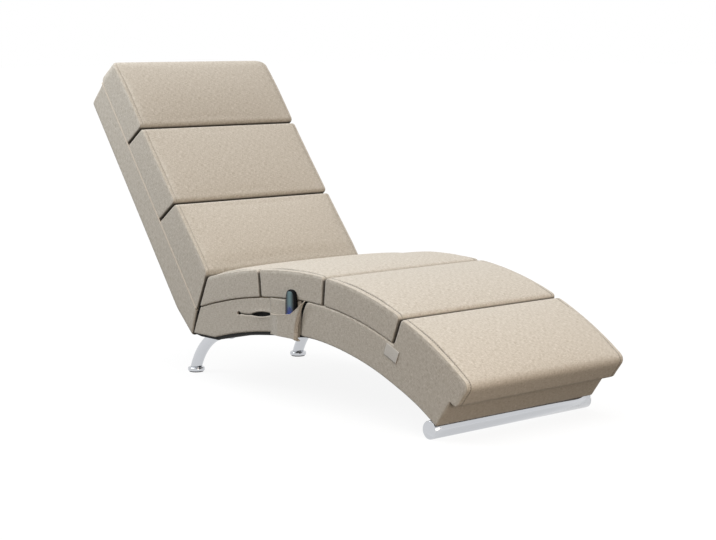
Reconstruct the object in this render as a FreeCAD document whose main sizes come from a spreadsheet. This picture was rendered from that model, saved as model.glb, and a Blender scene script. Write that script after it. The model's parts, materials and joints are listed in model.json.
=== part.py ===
import FreeCAD, Part
import math
import os
import Sketcher

# Massage lounger: a wave-shaped upholstered bench of three bolted modules on chrome feet.
# Millimetres and degrees. +X runs from head to foot, +Z is up, the floor is Z = 0 and Y = 0 is the
# mid-plane. Left and right are those of a person lying on it, so right is -Y.

SIZES = {
    # Overall form
    "lounger_width": 550,        # across the cushions
    "arch_x": 182.5,             # crest of the seat wave, from the middle of the lounger
    "arch_under": 187,           # underside of the base at the crest
    "base_depth": 92,            # base thickness at the crest
    "pad_depth": 74,             # seat and leg cushions at their edges
    # Leg module
    "leg_seam_radius": 932,      # base top, about a centre below the crest
    "leg_under_radius": 882,     # base underside
    "front_overhang": 13.5,      # front end of the leg base past the tube, along the underside
    "foot_overhang": 22.8,       # front end of the foot cushion past the base, along the seam
    "calf_slit_angle": 4.95,     # slit between seat and calf cushions
    "foot_slit_angle": 21.65,    # slit between calf and foot cushions
    # Seat module
    "seat_seam_radius": 1500,    # base top
    "seat_under_radius": 1400,   # base underside
    "seat_floor": 134,           # flat underside behind the arch
    "thigh_slit_angle": 6.65,    # slit between the two seat cushions, behind the crest
    "joint_setback": 5.5,        # joint between seat and leg modules, behind the crest
    "module_gap": 9,             # visible gap at that joint
    # Back module, measured up the back from its datum and square to the back
    "back_lean": 36.3,           # from vertical
    "back_x": -309,              # datum on the line between base and cushions
    "back_z": 243,
    "back_depth": 84,            # base thickness
    "back_pad": 88,              # cushion thickness at the edges
    "back_length": 711,          # front edge of the base top
    "back_top_fall": 15,         # how much lower the rear edge of the base top is
    "back_cushion_top": 732,
    "upper_slit": 496,
    "lower_slit": 239,
    "heel_height": 2,            # where the rear face turns in towards the seat
    "heel_inset": 24,
    # Slit between back and seat
    "hip_x": -269,
    "hip_z": 210,
    "hip_angle": 24,             # of that slit from vertical
    "hip_gap": 8,
    # Cushions
    "cushion_gap": 2,            # between neighbouring cushions
    "cushion_clear": 0.3,        # between a cushion and the board under it
    "cushion_corner": 16,        # rounded lips of the slits
    "toe_corner": 26,            # rounded front edge of the foot cushion
    "crown": 14,                 # rise of the cushion middle over its sides
    "edge_crown": 3,             # rise of a back cushion's side edge between its slits
    "side_round": 9,             # rounding of the cushion sides
    # Base boards
    "panel": 12,                 # padded side panel
    "ply": 18,                   # rails
    "deck": 9,                   # boards under the cushions
    "back_board": 8,             # rear panel
    "end_board": 10,             # panels at the ends of the back module
    "front_board": 6,            # panel under the foot cushion
    "liner": 6,                  # slack dust cover under the base
    "liner_inset": 5,            # dust cover edge from the side faces
    "liner_end_angle": 27,       # front end of the leg dust cover
    "beam_angle": 3.2,           # front beam of the leg module
    "mid_rail_angle": 17,        # middle rail of the leg module
    "seat_mid_x": -60,           # middle rail of the seat module
    "back_rail_low": 84,         # rails across the back module
    "back_rail_mid": 330,
    "back_rail_high": 655,
    # Steel straps that tie the back to the seat
    "strap": 5,
    "strap_width": 36,
    "strap_clear": 1,
    "strap_depth": 38,           # centre line of the back arm, behind the cushions
    "strap_top": 70,             # end of the back arm, up the back
    "strap_z": 179,              # centre line of the seat arm
    "strap_front": -200,         # end of the seat arm
    "strap_bolt_low": 15,        # bolts of the back arm, up the back
    "strap_bolt_high": 50,
    "strap_bolt_rear": -250,     # bolts of the seat arm
    "strap_bolt_front": -218,
    # Bolts and screws
    "bolt": 8,
    "bolt_head": 13,
    "bolt_head_height": 5,
    "bolt_clear": 0.6,
    "bolt_cover": 1,             # wood left over a blind bolt end
    "module_bolt_inset": 95,     # outer bolts from the sides
    "module_bolt_inner_y": 85,
    "module_bolt_z": 232,
    "screw": 6,
    "screw_head": 11,
    "screw_head_height": 3,
    "screw_depth": 26,
    "screw_clear": 0.3,
    # Rear legs
    "foot_x": -405.5,
    "leg_inset": 87,             # leg centre from the sides
    "leg_tube": 32,
    "leg_reach": 170,            # from foot to the end of the bend
    "leg_recess": 16,            # leg plate above the underside of the seat
    "leg_plate": 4,
    "leg_plate_width": 84,
    "leg_weld": 1.5,             # how far the tube sinks into its plate
    "leg_hole_x": 18,
    "leg_hole_y": 29,
    "leg_block_rear": -257,
    "leg_block_length": 57,
    "leg_block_height": 30,
    "leg_block_margin": 1,
    "leg_block_clear": 2,        # around the straps and their bolts
    "foot_disc": 48,
    "foot_height": 11,
    "foot_round": 3,
    "glide": 40,
    "glide_height": 3,
    # Front tube
    "tube": 45,
    "tube_wall": 2,
    "tube_inset": 0.5,           # ends of the tube from the sides
    "tube_clear": 0.3,
    "cap_height": 3,
    "cap_plug": 15,
    "tube_screw_inset": 95,      # screws from the sides
    "tube_access": 14,           # screwdriver hole in the tube's underside
    # Vibration motors
    "motor_cover": 64,
    "motor_cover_height": 34,
    "motor_cover_wall": 2.5,
    "motor_can": 30,
    "motor_can_height": 18,
    "motor_floor": 3,
    "shaft": 4,
    "shaft_clear": 0.05,
    "shaft_end_clear": 0.3,
    "shaft_top": 28,
    "weight": 48,
    "weight_hub": 10,
    "weight_low": 20,
    "weight_height": 7,
    "motor_seat_clear": 0.2,
    "motor_room": 1,             # foam around a motor cover
    "shoulder_motor": 605,
    "lumbar_motor": 105,
    "calf_motor_angle": 13.5,
    "motor_spread": 105,
    # Heating pad in the lower back cushion
    "heater": 2,
    "heater_width": 280,
    "heater_length": 150,
    "heater_depth": 66,          # above the back board
    "heater_clear": 0.3,
    # Control box under the seat
    "box_length": 90,
    "box_width": 130,
    "box_height": 34,
    "box_wall": 2.5,
    "box_base": 198,
    "lid": 3,
    "lid_lip": 4,
    "lid_clear": 0.2,
    "socket_x": 110,
    "socket": 11,
    "socket_drop": 20,
    "socket_bore": 5.5,
    "socket_bore_depth": 10,
    "socket_clear": 0.3,
    # Handset pocket on the right side
    "pocket_length": 123,
    "pocket_base": 180,
    "pocket_low_lip": 232,
    "pocket_high_lip": 249,
    "pocket_back_top": 264,
    "pocket_back": 1.5,
    "pocket_front": 2,
    "pocket_wall": 2.5,
    "pocket_floor": 3,
    "pocket_clear": 0.5,
    # Cable slit in the right side panel
    "slit_rear": -96.5,
    "slit_front": 44,
    "slit_rear_z": 216,
    "slit_front_z": 226,
    "slit_rise": 4.5,
    "slit_drop": 5,
    "window_margin": 18,         # rail cut-out around the slit
    # Handset
    "handset_width": 44,
    "handset_top_width": 32,
    "handset_length": 123,
    "handset_shoulder": 88,
    "handset_thickness": 13,
    "handset_from_edge": 2,      # from the pocket's inner front end
    "handset_seat": 0.3,
    "handset_end_rise": 5,
    "handset_side_rise": 0.8,
    "shell_rear_wall": 2.6,
    "shell_front_wall": 1.5,
    "shell_split": 6.5,          # rear shell depth
    "board": 1.2,
    "board_clear": 0.2,
    "window_width": 24,
    "window_height": 26,
    "window_low": 86,
    "window_depth": 0.8,
    "window_clear": 0.1,
    "button": 8.6,
    "button_clear": 0.2,
    "button_collar": 11,
    "button_collar_height": 1,
    "button_proud": 1,
    "button_travel": 1,
    "button_rest_clear": 0.1,
    "switch": 5,
    "button_spread": 10,
    "power_button": 73,
    "upper_buttons": 56,
    "lower_buttons": 38,
    # Blank sewn tab on the right side of the leg base
    "tab_rear_angle": 20.5,
    "tab_front_angle": 23.5,
    "tab_below_seam": 6,
    "tab_height": 32,
    "tab_thickness": 1.2,
}


class Dim:
    """A length or angle that keeps its number and the spreadsheet expression it comes from."""

    def __init__(self, number, text):
        self.number = number
        self.text = text

    def __add__(self, other):
        other = dim(other)
        return Dim(self.number + other.number, "(%s + %s)" % (self.text, other.text))

    def __sub__(self, other):
        other = dim(other)
        return Dim(self.number - other.number, "(%s - %s)" % (self.text, other.text))

    def __mul__(self, other):
        other = dim(other)
        return Dim(self.number * other.number, "%s * %s" % (self.text, other.text))

    def __truediv__(self, other):
        other = dim(other)
        return Dim(self.number / other.number, "%s / (%s)" % (self.text, other.text))

    def __neg__(self):
        return Dim(-self.number, "(0 - %s)" % self.text)


def dim(value):
    """A plain number as a Dim, and a Dim as it is."""
    if isinstance(value, Dim):
        return value
    return Dim(float(value), "(%.9g)" % value)


def sine(angle):
    return Dim(math.sin(math.radians(angle.number)), "sin(%s)" % angle.text)


def cosine(angle):
    return Dim(math.cos(math.radians(angle.number)), "cos(%s)" % angle.text)


def root(value):
    return Dim(math.sqrt(value.number), "sqrt(%s)" % value.text)


def arc_sine(ratio):
    return Dim(math.degrees(math.asin(ratio.number)), "asin(%s) / (1 deg)" % ratio.text)


def arc_tangent(ratio):
    return Dim(math.degrees(math.atan(ratio.number)), "atan(%s) / (1 deg)" % ratio.text)


def degrees(ratio):
    """The small angle whose arc over its radius is this ratio, in degrees."""
    return ratio * 180 / math.pi


doc = FreeCAD.newDocument("MassageLounger")
sheet = doc.addObject("Spreadsheet::Sheet", "Sizes")
for row, (name, value) in enumerate(SIZES.items(), start=1):
    sheet.set("A%d" % row, name)
    sheet.set("B%d" % row, str(value))
    sheet.setAlias("B%d" % row, name)
doc.recompute()


class Named:
    """Every spreadsheet size as an attribute."""


s = Named()
for name, value in SIZES.items():
    setattr(s, name, Dim(float(value), "Sizes." + name))

places = doc.addObject("App::FeaturePython", "Places")


def kept(name, value):
    """Keeps a worked-out angle as a property tied to the sheet, to be used by its name."""
    places.addProperty("App::PropertyFloat", name)
    places.setExpression(name, value.text)
    return Dim(value.number, "Places." + name)


nodes = {}


def node(label, part):
    """Names a finished sub-part; the label is also its file name."""
    part.Label = label
    nodes[label] = part
    return part


# Sketches and features

def arc_edge(first, last, radius):
    """Arc from first to last; a positive radius turns left, a negative one right."""
    x0, z0, x1, z1 = first[0].number, first[1].number, last[0].number, last[1].number
    size = abs(radius.number)
    turn = math.copysign(1, radius.number)
    half = math.hypot(x1 - x0, z1 - z0) / 2
    reach = math.sqrt(size * size - half * half) * turn / (2 * half)
    centre = FreeCAD.Vector((x0 + x1) / 2 - (z1 - z0) * reach, (z0 + z1) / 2 + (x1 - x0) * reach, 0)
    start = math.atan2(z0 - centre.y, x0 - centre.x)
    end = math.atan2(z1 - centre.y, x1 - centre.x)
    circle = Part.Circle(centre, FreeCAD.Vector(0, 0, 1), size)
    if turn > 0:
        return Part.ArcOfCircle(circle, start, end)
    return Part.ArcOfCircle(circle, end, start)


def bind(sketch, constraint, value):
    """Adds a dimension to a sketch and ties it to the sheet."""
    index = sketch.addConstraint(constraint)
    sketch.setExpression("Constraints[%d]" % index, value.text)


def draw(sketch, points, arcs, closed=True):
    """Draws an outline whose corners are Dim pairs; arcs gives the radius of the edges that bend."""
    count = len(points) if closed else len(points) - 1
    ends = []
    for i in range(count):
        first, last = points[i], points[(i + 1) % len(points)]
        if i in arcs:
            index = sketch.addGeometry(arc_edge(first, last, arcs[i]))
            ends.append((index, 1, 2) if arcs[i].number > 0 else (index, 2, 1))
        else:
            corners = [FreeCAD.Vector(x.number, z.number, 0) for x, z in (first, last)]
            index = sketch.addGeometry(Part.LineSegment(*corners))
            ends.append((index, 1, 2))
    joins = count if closed else count - 1
    for i in range(joins):
        index, _, tail = ends[i]
        following, head, _ = ends[(i + 1) % count]
        sketch.addConstraint(Sketcher.Constraint("Coincident", index, tail, following, head))
    spots = [(index, head) for index, head, _ in ends]
    if not closed:
        spots.append((ends[-1][0], ends[-1][2]))
    for (x, z), (index, corner) in zip(points, spots):
        bind(sketch, Sketcher.Constraint("DistanceX", -1, 1, index, corner, x.number), x)
        bind(sketch, Sketcher.Constraint("DistanceY", -1, 1, index, corner, z.number), z)
    for i, radius in arcs.items():
        size = radius if radius.number > 0 else -radius
        bind(sketch, Sketcher.Constraint("Radius", ends[i][0], size.number), size)


def new_sketch(body, name, plane, offset=None):
    """Empty sketch on one of the body's own origin planes, moved along that plane's normal."""
    sketch = body.newObject("Sketcher::SketchObject", name)
    support = [f for f in body.Origin.OriginFeatures if f.Role == plane][0]
    sketch.AttachmentSupport = [(support, "")]
    sketch.MapMode = "FlatFace"
    if offset is not None:
        sketch.setExpression("AttachmentOffset.Base.z", offset.text)
    return sketch


def slab(name, points, arcs, y_low, y_high):
    """Side outline in X and Z, padded from y_low to y_high."""
    body = doc.addObject("PartDesign::Body", name)
    sketch = new_sketch(body, name + "_outline", "XZ_Plane", -y_high)
    draw(sketch, points, arcs)
    pad = body.newObject("PartDesign::Pad", name + "_pad")
    pad.Profile = sketch
    pad.setExpression("Length", (y_high - y_low).text)
    return body


def twin_slabs(name, points, arcs, y_low, y_high):
    """The same board on both sides of the mid-plane."""
    left = slab(name + "_left", points, arcs, y_low, y_high)
    right = slab(name + "_right", points, arcs, -y_high, -y_low)
    return left, right


def place(part, x, y, z, tilt=None, axis=(0, 1, 0)):
    """Puts a part at a point, turned by tilt about an axis."""
    part.Placement = FreeCAD.Placement(FreeCAD.Vector(0, 0, 0), FreeCAD.Rotation(FreeCAD.Vector(*axis), 1))
    for letter, value in zip("xyz", (x, y, z)):
        part.setExpression("Placement.Base." + letter, dim(value).text)
    part.setExpression("Placement.Rotation.Angle", dim(0 if tilt is None else tilt).text)
    return part


def rod(name, diameter, length):
    """Plain cylinder along its own Z axis."""
    part = doc.addObject("Part::Cylinder", name)
    part.setExpression("Radius", (diameter / 2).text)
    part.setExpression("Height", length.text)
    return part


def block(name, low, high):
    """Plain box between two corners."""
    part = doc.addObject("Part::Box", name)
    for label, first, last in zip(("Length", "Width", "Height"), low, high):
        part.setExpression(label, (dim(last) - first).text)
    return place(part, *low)


def fuse(name, parts):
    part = doc.addObject("Part::MultiFuse", name)
    part.Shapes = parts
    return part


def cut(name, base, tools):
    """Base with one or more tools taken away."""
    part = doc.addObject("Part::Cut", name)
    part.Base = base
    part.Tool = tools[0] if len(tools) == 1 else fuse(name + "_tools", tools)
    return part


def group(name, parts):
    """Like pieces that share one node."""
    part = doc.addObject("Part::Compound", name)
    part.Links = parts
    return part


# Shared places

half = s.lounger_width / 2
inside = half - s.panel
rail_inside = inside - s.ply
strap_inside = rail_inside - s.strap - s.strap_clear
seam_z = s.arch_under + s.base_depth
joint_x = s.arch_x - s.joint_setback
leg_spread = half - s.leg_inset
leg_seat_z = s.seat_floor + s.leg_recess
module_bolt_y = half - s.module_bolt_inset
seat_front = joint_x - s.module_gap / 2
leg_rear = joint_x + s.module_gap / 2

leg_seam_z = seam_z - s.leg_seam_radius
leg_under_z = s.arch_under - s.leg_under_radius
seat_seam_z = seam_z - s.seat_seam_radius
seat_under_z = s.arch_under - s.seat_under_radius
floor_drop = s.seat_floor - seat_under_z
turn_x = s.arch_x - root(s.seat_under_radius * s.seat_under_radius - floor_drop * floor_drop)


def arc_height(x, centre_z, radius):
    """Height of an arch arc at x."""
    off = x - s.arch_x
    return centre_z + root(radius * radius - off * off)


def polar(centre_z, radius, angle):
    """Point at an angle from the vertical through the crest."""
    return s.arch_x + radius * sine(angle), centre_z + radius * cosine(angle)


def line_to_arc(x, z, angle, centre_z, radius):
    """Where a line up from (x, z), leaning forward by angle, meets an arch arc."""
    qx, qz = x - s.arch_x, z - centre_z
    along = qx * sine(angle) + qz * cosine(angle)
    run = root(along * along - qx * qx - qz * qz + radius * radius) - along
    return x + run * sine(angle), z + run * cosine(angle)


def hip_line(offset, z):
    """Point at height z on the hip slit, moved towards the seat by offset."""
    slope = sine(s.hip_angle) / cosine(s.hip_angle)
    return s.hip_x + offset / cosine(s.hip_angle) + (z - s.hip_z) * slope, z


def back_point(up, out):
    """Point up the back from its datum and out from the line between base and cushions."""
    x = s.back_x - up * sine(s.back_lean) + out * cosine(s.back_lean)
    return x, s.back_z + up * cosine(s.back_lean) + out * sine(s.back_lean)


def back_end(out, inset=0):
    """How far up the back its lower end lies, at a depth; the end follows the hip slit."""
    turn = s.back_lean + s.hip_angle
    shift = (s.back_x - s.hip_x) * cosine(s.hip_angle) - (s.back_z - s.hip_z) * sine(s.hip_angle)
    return (shift + s.hip_gap / 2 + inset + out * cosine(turn)) / sine(turn)


def back_top(out, inset=0):
    """How far up the back its base reaches, at a depth."""
    return s.back_length + out * s.back_top_fall / s.back_depth - inset


# The front tube lies on the floor against the underside of the leg base, whose end follows from it.

tube_length = s.lounger_width - s.tube_inset * 2
tube_screw_y = half - s.tube_screw_inset
tube_from_centre = s.leg_under_radius - s.tube / 2 - s.tube_clear
tube_z = s.tube / 2
tube_x = s.arch_x + root(tube_from_centre * tube_from_centre - (tube_z - leg_under_z) * (tube_z - leg_under_z))
tube_lean = kept("tube_lean", arc_sine((tube_x - s.arch_x) / tube_from_centre))
front_x, front_z = polar(leg_under_z, s.leg_under_radius,
                         tube_lean + degrees(s.front_overhang / s.leg_under_radius))
leg_end_angle = kept("leg_end_angle", arc_tangent((front_x - s.arch_x) / (front_z - leg_seam_z)))
foot_end_angle = leg_end_angle + degrees(s.foot_overhang / s.leg_seam_radius)


# Back module

def back_module():
    rear = -s.back_depth
    rear_in = rear + s.back_board
    heel = rear + s.heel_inset
    heel_in = heel + s.back_board
    under_deck = -s.deck
    zero = dim(0)

    outline = [back_point(back_top(zero), zero), back_point(back_top(rear), rear),
               back_point(s.heel_height, rear), back_point(back_end(heel), heel),
               back_point(back_end(zero), zero)]
    for label, panel in zip(("left", "right"), twin_slabs("back_side", outline, {}, inside, half)):
        node("back_side_panel_" + label, panel)

    board = [back_point(back_top(rear_in, s.end_board), rear_in),
             back_point(back_top(rear, s.end_board), rear),
             back_point(s.heel_height, rear), back_point(back_end(heel), heel),
             back_point(back_end(heel_in), heel_in), back_point(s.heel_height, rear_in)]
    node("back_rear_panel", slab("back_rear", board, {}, -inside, inside))

    top = [back_point(back_top(zero), zero), back_point(back_top(rear), rear),
           back_point(back_top(rear, s.end_board), rear), back_point(back_top(zero, s.end_board), zero)]
    foot = [back_point(back_end(zero), zero), back_point(back_end(zero, s.end_board), zero),
            back_point(back_end(heel_in, s.end_board), heel_in), back_point(back_end(heel_in), heel_in)]
    ends = [slab("back_top_end", top, {}, -inside, inside),
            slab("back_low_end", foot, {}, -strap_inside, strap_inside)]
    node("back_end_panels", group("back_ends", ends))

    deck = [back_point(back_end(zero, s.end_board), zero), back_point(back_top(zero, s.end_board), zero),
            back_point(back_top(under_deck, s.end_board), under_deck),
            back_point(back_end(under_deck, s.end_board), under_deck)]
    node("back_deck", slab("back_board", deck, {}, -inside, inside))

    outline = [back_point(back_top(under_deck, s.end_board), under_deck),
               back_point(back_top(rear_in, s.end_board), rear_in), back_point(s.heel_height, rear_in),
               back_point(back_end(heel_in), heel_in), back_point(back_end(under_deck), under_deck)]
    rails = twin_slabs("back_rail", outline, {}, rail_inside, inside)
    bored = [cut(rail.Name + "_bored", rail, strap_bolt_holes(rail.Name, side, ("back",)))
             for rail, side in zip(rails, (1, -1))]
    node("back_side_rails", group("back_rails", bored))

    across = []
    for index, low in enumerate((s.back_rail_low, s.back_rail_mid, s.back_rail_high)):
        high = low + s.ply
        corners = [back_point(low, under_deck), back_point(high, under_deck),
                   back_point(high, rear_in), back_point(low, rear_in)]
        across.append(slab("back_cross_%d" % index, corners, {}, -rail_inside, rail_inside))
    node("back_cross_rails", group("back_crosses", across))


# Seat module

def seat_outline(inset_top, rear_offset, front_x):
    """Side outline of the seat base, its top lowered by inset_top."""
    top_radius = s.seat_seam_radius - inset_top
    hip = hip_line(rear_offset, s.hip_z)
    points = [(front_x, arc_height(front_x, seat_seam_z, top_radius)),
              line_to_arc(hip[0], hip[1], s.hip_angle, seat_seam_z, top_radius),
              hip_line(rear_offset, s.seat_floor), (turn_x, s.seat_floor),
              (front_x, arc_height(front_x, seat_under_z, s.seat_under_radius))]
    return points, {0: top_radius, 3: -s.seat_under_radius}


def slit_outline(margin):
    """Lens of the cable slit, widened by a margin."""
    points = [(s.slit_rear - margin, s.slit_rear_z), (s.slit_front + margin, s.slit_front_z)]
    run = points[1][0] - points[0][0]
    climb = points[1][1] - points[0][1]
    chord = run * run + climb * climb
    arcs = {}
    for edge, rise in ((0, s.slit_drop + margin), (1, s.slit_rise + margin)):
        arcs[edge] = (chord / 4 + rise * rise) / (rise * 2)
    return points, arcs


def seat_module():
    zero = dim(0)
    outline, arcs = seat_outline(zero, s.hip_gap / 2, seat_front)
    left, right = twin_slabs("seat_side", outline, arcs, inside, half)
    node("seat_side_panel_left", left)
    lens, lens_arcs = slit_outline(zero)
    tool = slab("cable_slit", lens, lens_arcs, -half - s.panel, -inside + s.panel)
    node("seat_side_panel_right", cut("seat_side_slit", right, [tool]))

    outline, arcs = seat_outline(s.deck, s.hip_gap / 2, seat_front)
    left, right = twin_slabs("seat_rail", outline, arcs, rail_inside, inside)
    lens, lens_arcs = slit_outline(s.window_margin)
    window = slab("rail_window", lens, lens_arcs, -inside - s.ply, -rail_inside + s.ply)
    rails = [cut("seat_rail_left_bored", left, strap_bolt_holes("seat_left", 1, ("seat",))),
             cut("seat_rail_right_bored", right, strap_bolt_holes("seat_right", -1, ("seat",)) + [window])]
    node("seat_side_rails", group("seat_rails", rails))

    front = joint_x - s.ply
    under_deck = s.seat_seam_radius - s.deck
    crosses = []
    hip = hip_line(s.hip_gap / 2, s.hip_z)
    inner = hip_line(s.hip_gap / 2 + s.ply, s.hip_z)
    rear = [line_to_arc(inner[0], inner[1], s.hip_angle, seat_seam_z, under_deck),
            line_to_arc(hip[0], hip[1], s.hip_angle, seat_seam_z, under_deck),
            hip_line(s.hip_gap / 2, leg_seat_z), hip_line(s.hip_gap / 2 + s.ply, leg_seat_z)]
    crosses.append(slab("seat_rear_cross", rear, {0: under_deck}, -strap_inside, strap_inside))
    for label, low, high in (("middle", s.seat_mid_x, s.seat_mid_x + s.ply), ("front", front, joint_x)):
        corners = [(high, arc_height(high, seat_seam_z, under_deck)),
                   (low, arc_height(low, seat_seam_z, under_deck)),
                   (low, arc_height(low, seat_under_z, s.seat_under_radius)),
                   (high, arc_height(high, seat_under_z, s.seat_under_radius))]
        bends = {0: under_deck, 2: -s.seat_under_radius}
        board = slab("seat_%s_cross" % label, corners, bends, -rail_inside, rail_inside)
        if label == "front":
            board = cut("seat_front_cross_bored", board, module_bolt_holes("seat"))
        crosses.append(board)
    block_front = s.leg_block_rear + s.leg_block_length
    block_top = leg_seat_z + s.leg_block_height
    leg_rail = block("leg_rail", (s.leg_block_rear, -rail_inside, leg_seat_z),
                     (block_front, rail_inside, block_top))
    notch_y = rail_inside - s.strap - s.bolt_head_height - s.leg_block_clear
    notch_z = s.strap_z - s.strap_width / 2 - s.leg_block_clear
    notches = []
    for label, low, high in (("left", notch_y, rail_inside), ("right", -rail_inside, -notch_y)):
        notches.append(block("leg_rail_notch_" + label, (s.leg_block_rear, low, notch_z),
                             (block_front, high, block_top)))
    crosses.append(cut("leg_rail_bored", leg_rail, leg_screws("leg_pilot", s.screw_clear, False) + notches))
    node("seat_cross_rails", group("seat_crosses", crosses))

    hip_top = line_to_arc(hip[0], hip[1], s.hip_angle, seat_seam_z, s.seat_seam_radius)
    hip_low = line_to_arc(hip[0], hip[1], s.hip_angle, seat_seam_z, under_deck)
    deck = [(joint_x, arc_height(joint_x, seat_seam_z, s.seat_seam_radius)), hip_top, hip_low,
            (joint_x, arc_height(joint_x, seat_seam_z, under_deck))]
    node("seat_deck", slab("seat_board", deck, {0: s.seat_seam_radius, 2: -under_deck}, -inside, inside))


# Leg module

def leg_end(angle):
    """Where a radial line of the leg module meets its underside."""
    return line_to_arc(s.arch_x, leg_seam_z, angle, leg_under_z, s.leg_under_radius)


def leg_band(name, first, last, top_radius, y_low, y_high):
    """Board of the leg base between two radial lines, from the underside up to top_radius."""
    points = [polar(leg_seam_z, top_radius, last), polar(leg_seam_z, top_radius, first),
              leg_end(first), leg_end(last)]
    return slab(name, points, {0: top_radius, 2: -s.leg_under_radius}, y_low, y_high)


def leg_outline(inset_top, rear_x, end_angle):
    """Side outline of the leg base."""
    radius = s.leg_seam_radius - inset_top
    points = [polar(leg_seam_z, radius, end_angle), (rear_x, arc_height(rear_x, leg_seam_z, radius)),
              (rear_x, arc_height(rear_x, leg_under_z, s.leg_under_radius)), leg_end(end_angle)]
    return points, {0: radius, 2: -s.leg_under_radius}


def leg_module():
    zero = dim(0)
    outline, arcs = leg_outline(zero, leg_rear, leg_end_angle)
    for label, board in zip(("left", "right"), twin_slabs("leg_side", outline, arcs, inside, half)):
        node("leg_side_panel_" + label, board)

    front_inside = leg_end_angle - degrees(s.front_board / s.leg_seam_radius)
    panel = leg_band("leg_front", front_inside, leg_end_angle, s.leg_seam_radius, -inside, inside)
    node("leg_front_panel", panel)

    outline, arcs = leg_outline(s.deck, leg_rear, front_inside)
    rails = twin_slabs("leg_rail", outline, arcs, rail_inside, inside)
    node("leg_side_rails", group("leg_rails", list(rails)))

    under_deck = s.leg_seam_radius - s.deck
    far = joint_x + s.ply
    rear = [(far, arc_height(far, leg_seam_z, under_deck)),
            (joint_x, arc_height(joint_x, leg_seam_z, under_deck)),
            (joint_x, arc_height(joint_x, leg_under_z, s.leg_under_radius)),
            (far, arc_height(far, leg_under_z, s.leg_under_radius))]
    bends = {0: under_deck, 2: -s.leg_under_radius}
    rear_board = slab("leg_rear_cross", rear, bends, -rail_inside, rail_inside)
    mid_end = s.mid_rail_angle + degrees(s.ply / s.leg_seam_radius)
    beam_rear = front_inside - s.beam_angle
    beam = leg_band("leg_beam", beam_rear, front_inside, under_deck, -rail_inside, rail_inside)
    crosses = [cut("leg_rear_cross_bored", rear_board, module_bolt_holes("leg")),
               leg_band("leg_middle_cross", s.mid_rail_angle, mid_end, under_deck, -rail_inside, rail_inside),
               cut("leg_beam_bored", beam, tube_screws("beam_pilot", s.screw_clear, False))]
    node("leg_cross_rails", group("leg_crosses", crosses))

    deck = [polar(leg_seam_z, s.leg_seam_radius, front_inside),
            (joint_x, arc_height(joint_x, leg_seam_z, s.leg_seam_radius)),
            (joint_x, arc_height(joint_x, leg_seam_z, under_deck)),
            polar(leg_seam_z, under_deck, front_inside)]
    node("leg_deck", slab("leg_board", deck, {0: s.leg_seam_radius, 2: -under_deck}, -inside, inside))


def dust_covers():
    """Black cloth under the seat and leg bases; the seat one has a hole for the power socket."""
    edge = half - s.liner_inset
    low = s.seat_under_radius - s.liner
    rear_x = turn_x + s.liner_inset
    seat = [(joint_x, arc_height(joint_x, seat_under_z, s.seat_under_radius)),
            (rear_x, arc_height(rear_x, seat_under_z, s.seat_under_radius)),
            (rear_x, arc_height(rear_x, seat_under_z, low)), (joint_x, arc_height(joint_x, seat_under_z, low))]
    sheet_seat = slab("seat_liner", seat, {0: s.seat_under_radius, 2: -low}, -edge, edge)
    hole = rod("socket_hole", s.socket + s.socket_clear * 2, s.socket_drop * 2)
    place(hole, s.socket_x, 0, s.box_base - s.socket_drop * 2)
    low = s.leg_under_radius - s.liner
    leg = [polar(leg_under_z, s.leg_under_radius, s.liner_end_angle),
           (joint_x, arc_height(joint_x, leg_under_z, s.leg_under_radius)),
           (joint_x, arc_height(joint_x, leg_under_z, low)), polar(leg_under_z, low, s.liner_end_angle)]
    sheet_leg = slab("leg_liner", leg, {0: s.leg_under_radius, 2: -low}, -edge, edge)
    node("dust_covers", group("liners", [cut("seat_liner_holed", sheet_seat, [hole]), sheet_leg]))


# Fastenings between modules

def strap_places(arms):
    """Bolt places in X and Z on the arms named."""
    spots = {"back": [back_point(up, -s.strap_depth) for up in (s.strap_bolt_low, s.strap_bolt_high)],
             "seat": [(s.strap_bolt_rear, s.strap_z), (s.strap_bolt_front, s.strap_z)]}
    return [spot for arm in arms for spot in spots[arm]]


def strap_bolts(name, diameter, side, arms, y_low, y_high):
    """Rods across a strap at its bolt places."""
    rods = []
    for index, (x, z) in enumerate(strap_places(arms)):
        part = rod("%s_%d" % (name, index), diameter, y_high - y_low)
        start = y_high if side > 0 else -y_low
        rods.append(place(part, x, start, z, dim(90), (1, 0, 0)))
    return rods


def strap_bolt_holes(name, side, arms):
    return strap_bolts(name + "_hole", s.bolt + s.bolt_clear, side, arms, rail_inside - s.strap, inside)


def strap_outline():
    """Cranked plate: one arm up the back, one forward under the seat."""
    wide = s.strap_width / 2
    corners = []
    for out in (-s.strap_depth + wide, -s.strap_depth - wide):
        corners.append(back_point(s.strap_top, out))
    for out, z in ((-s.strap_depth - wide, s.strap_z - wide), (-s.strap_depth + wide, s.strap_z + wide)):
        up = (z - s.back_z - out * sine(s.back_lean)) / cosine(s.back_lean)
        corners.append(back_point(up, out))
    return corners[:3] + [(s.strap_front, s.strap_z - wide), (s.strap_front, s.strap_z + wide), corners[3]]


def module_bolt_places():
    rows = (-module_bolt_y, -s.module_bolt_inner_y, s.module_bolt_inner_y, module_bolt_y)
    return [(y, s.module_bolt_z) for y in rows]


def module_bolt_holes(name):
    holes = []
    for index, (y, z) in enumerate(module_bolt_places()):
        hole = rod("%s_bolt_hole_%d" % (name, index), s.bolt + s.bolt_clear, s.ply * 2)
        holes.append(place(hole, joint_x - s.ply, y, z, dim(90)))
    return holes


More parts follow.
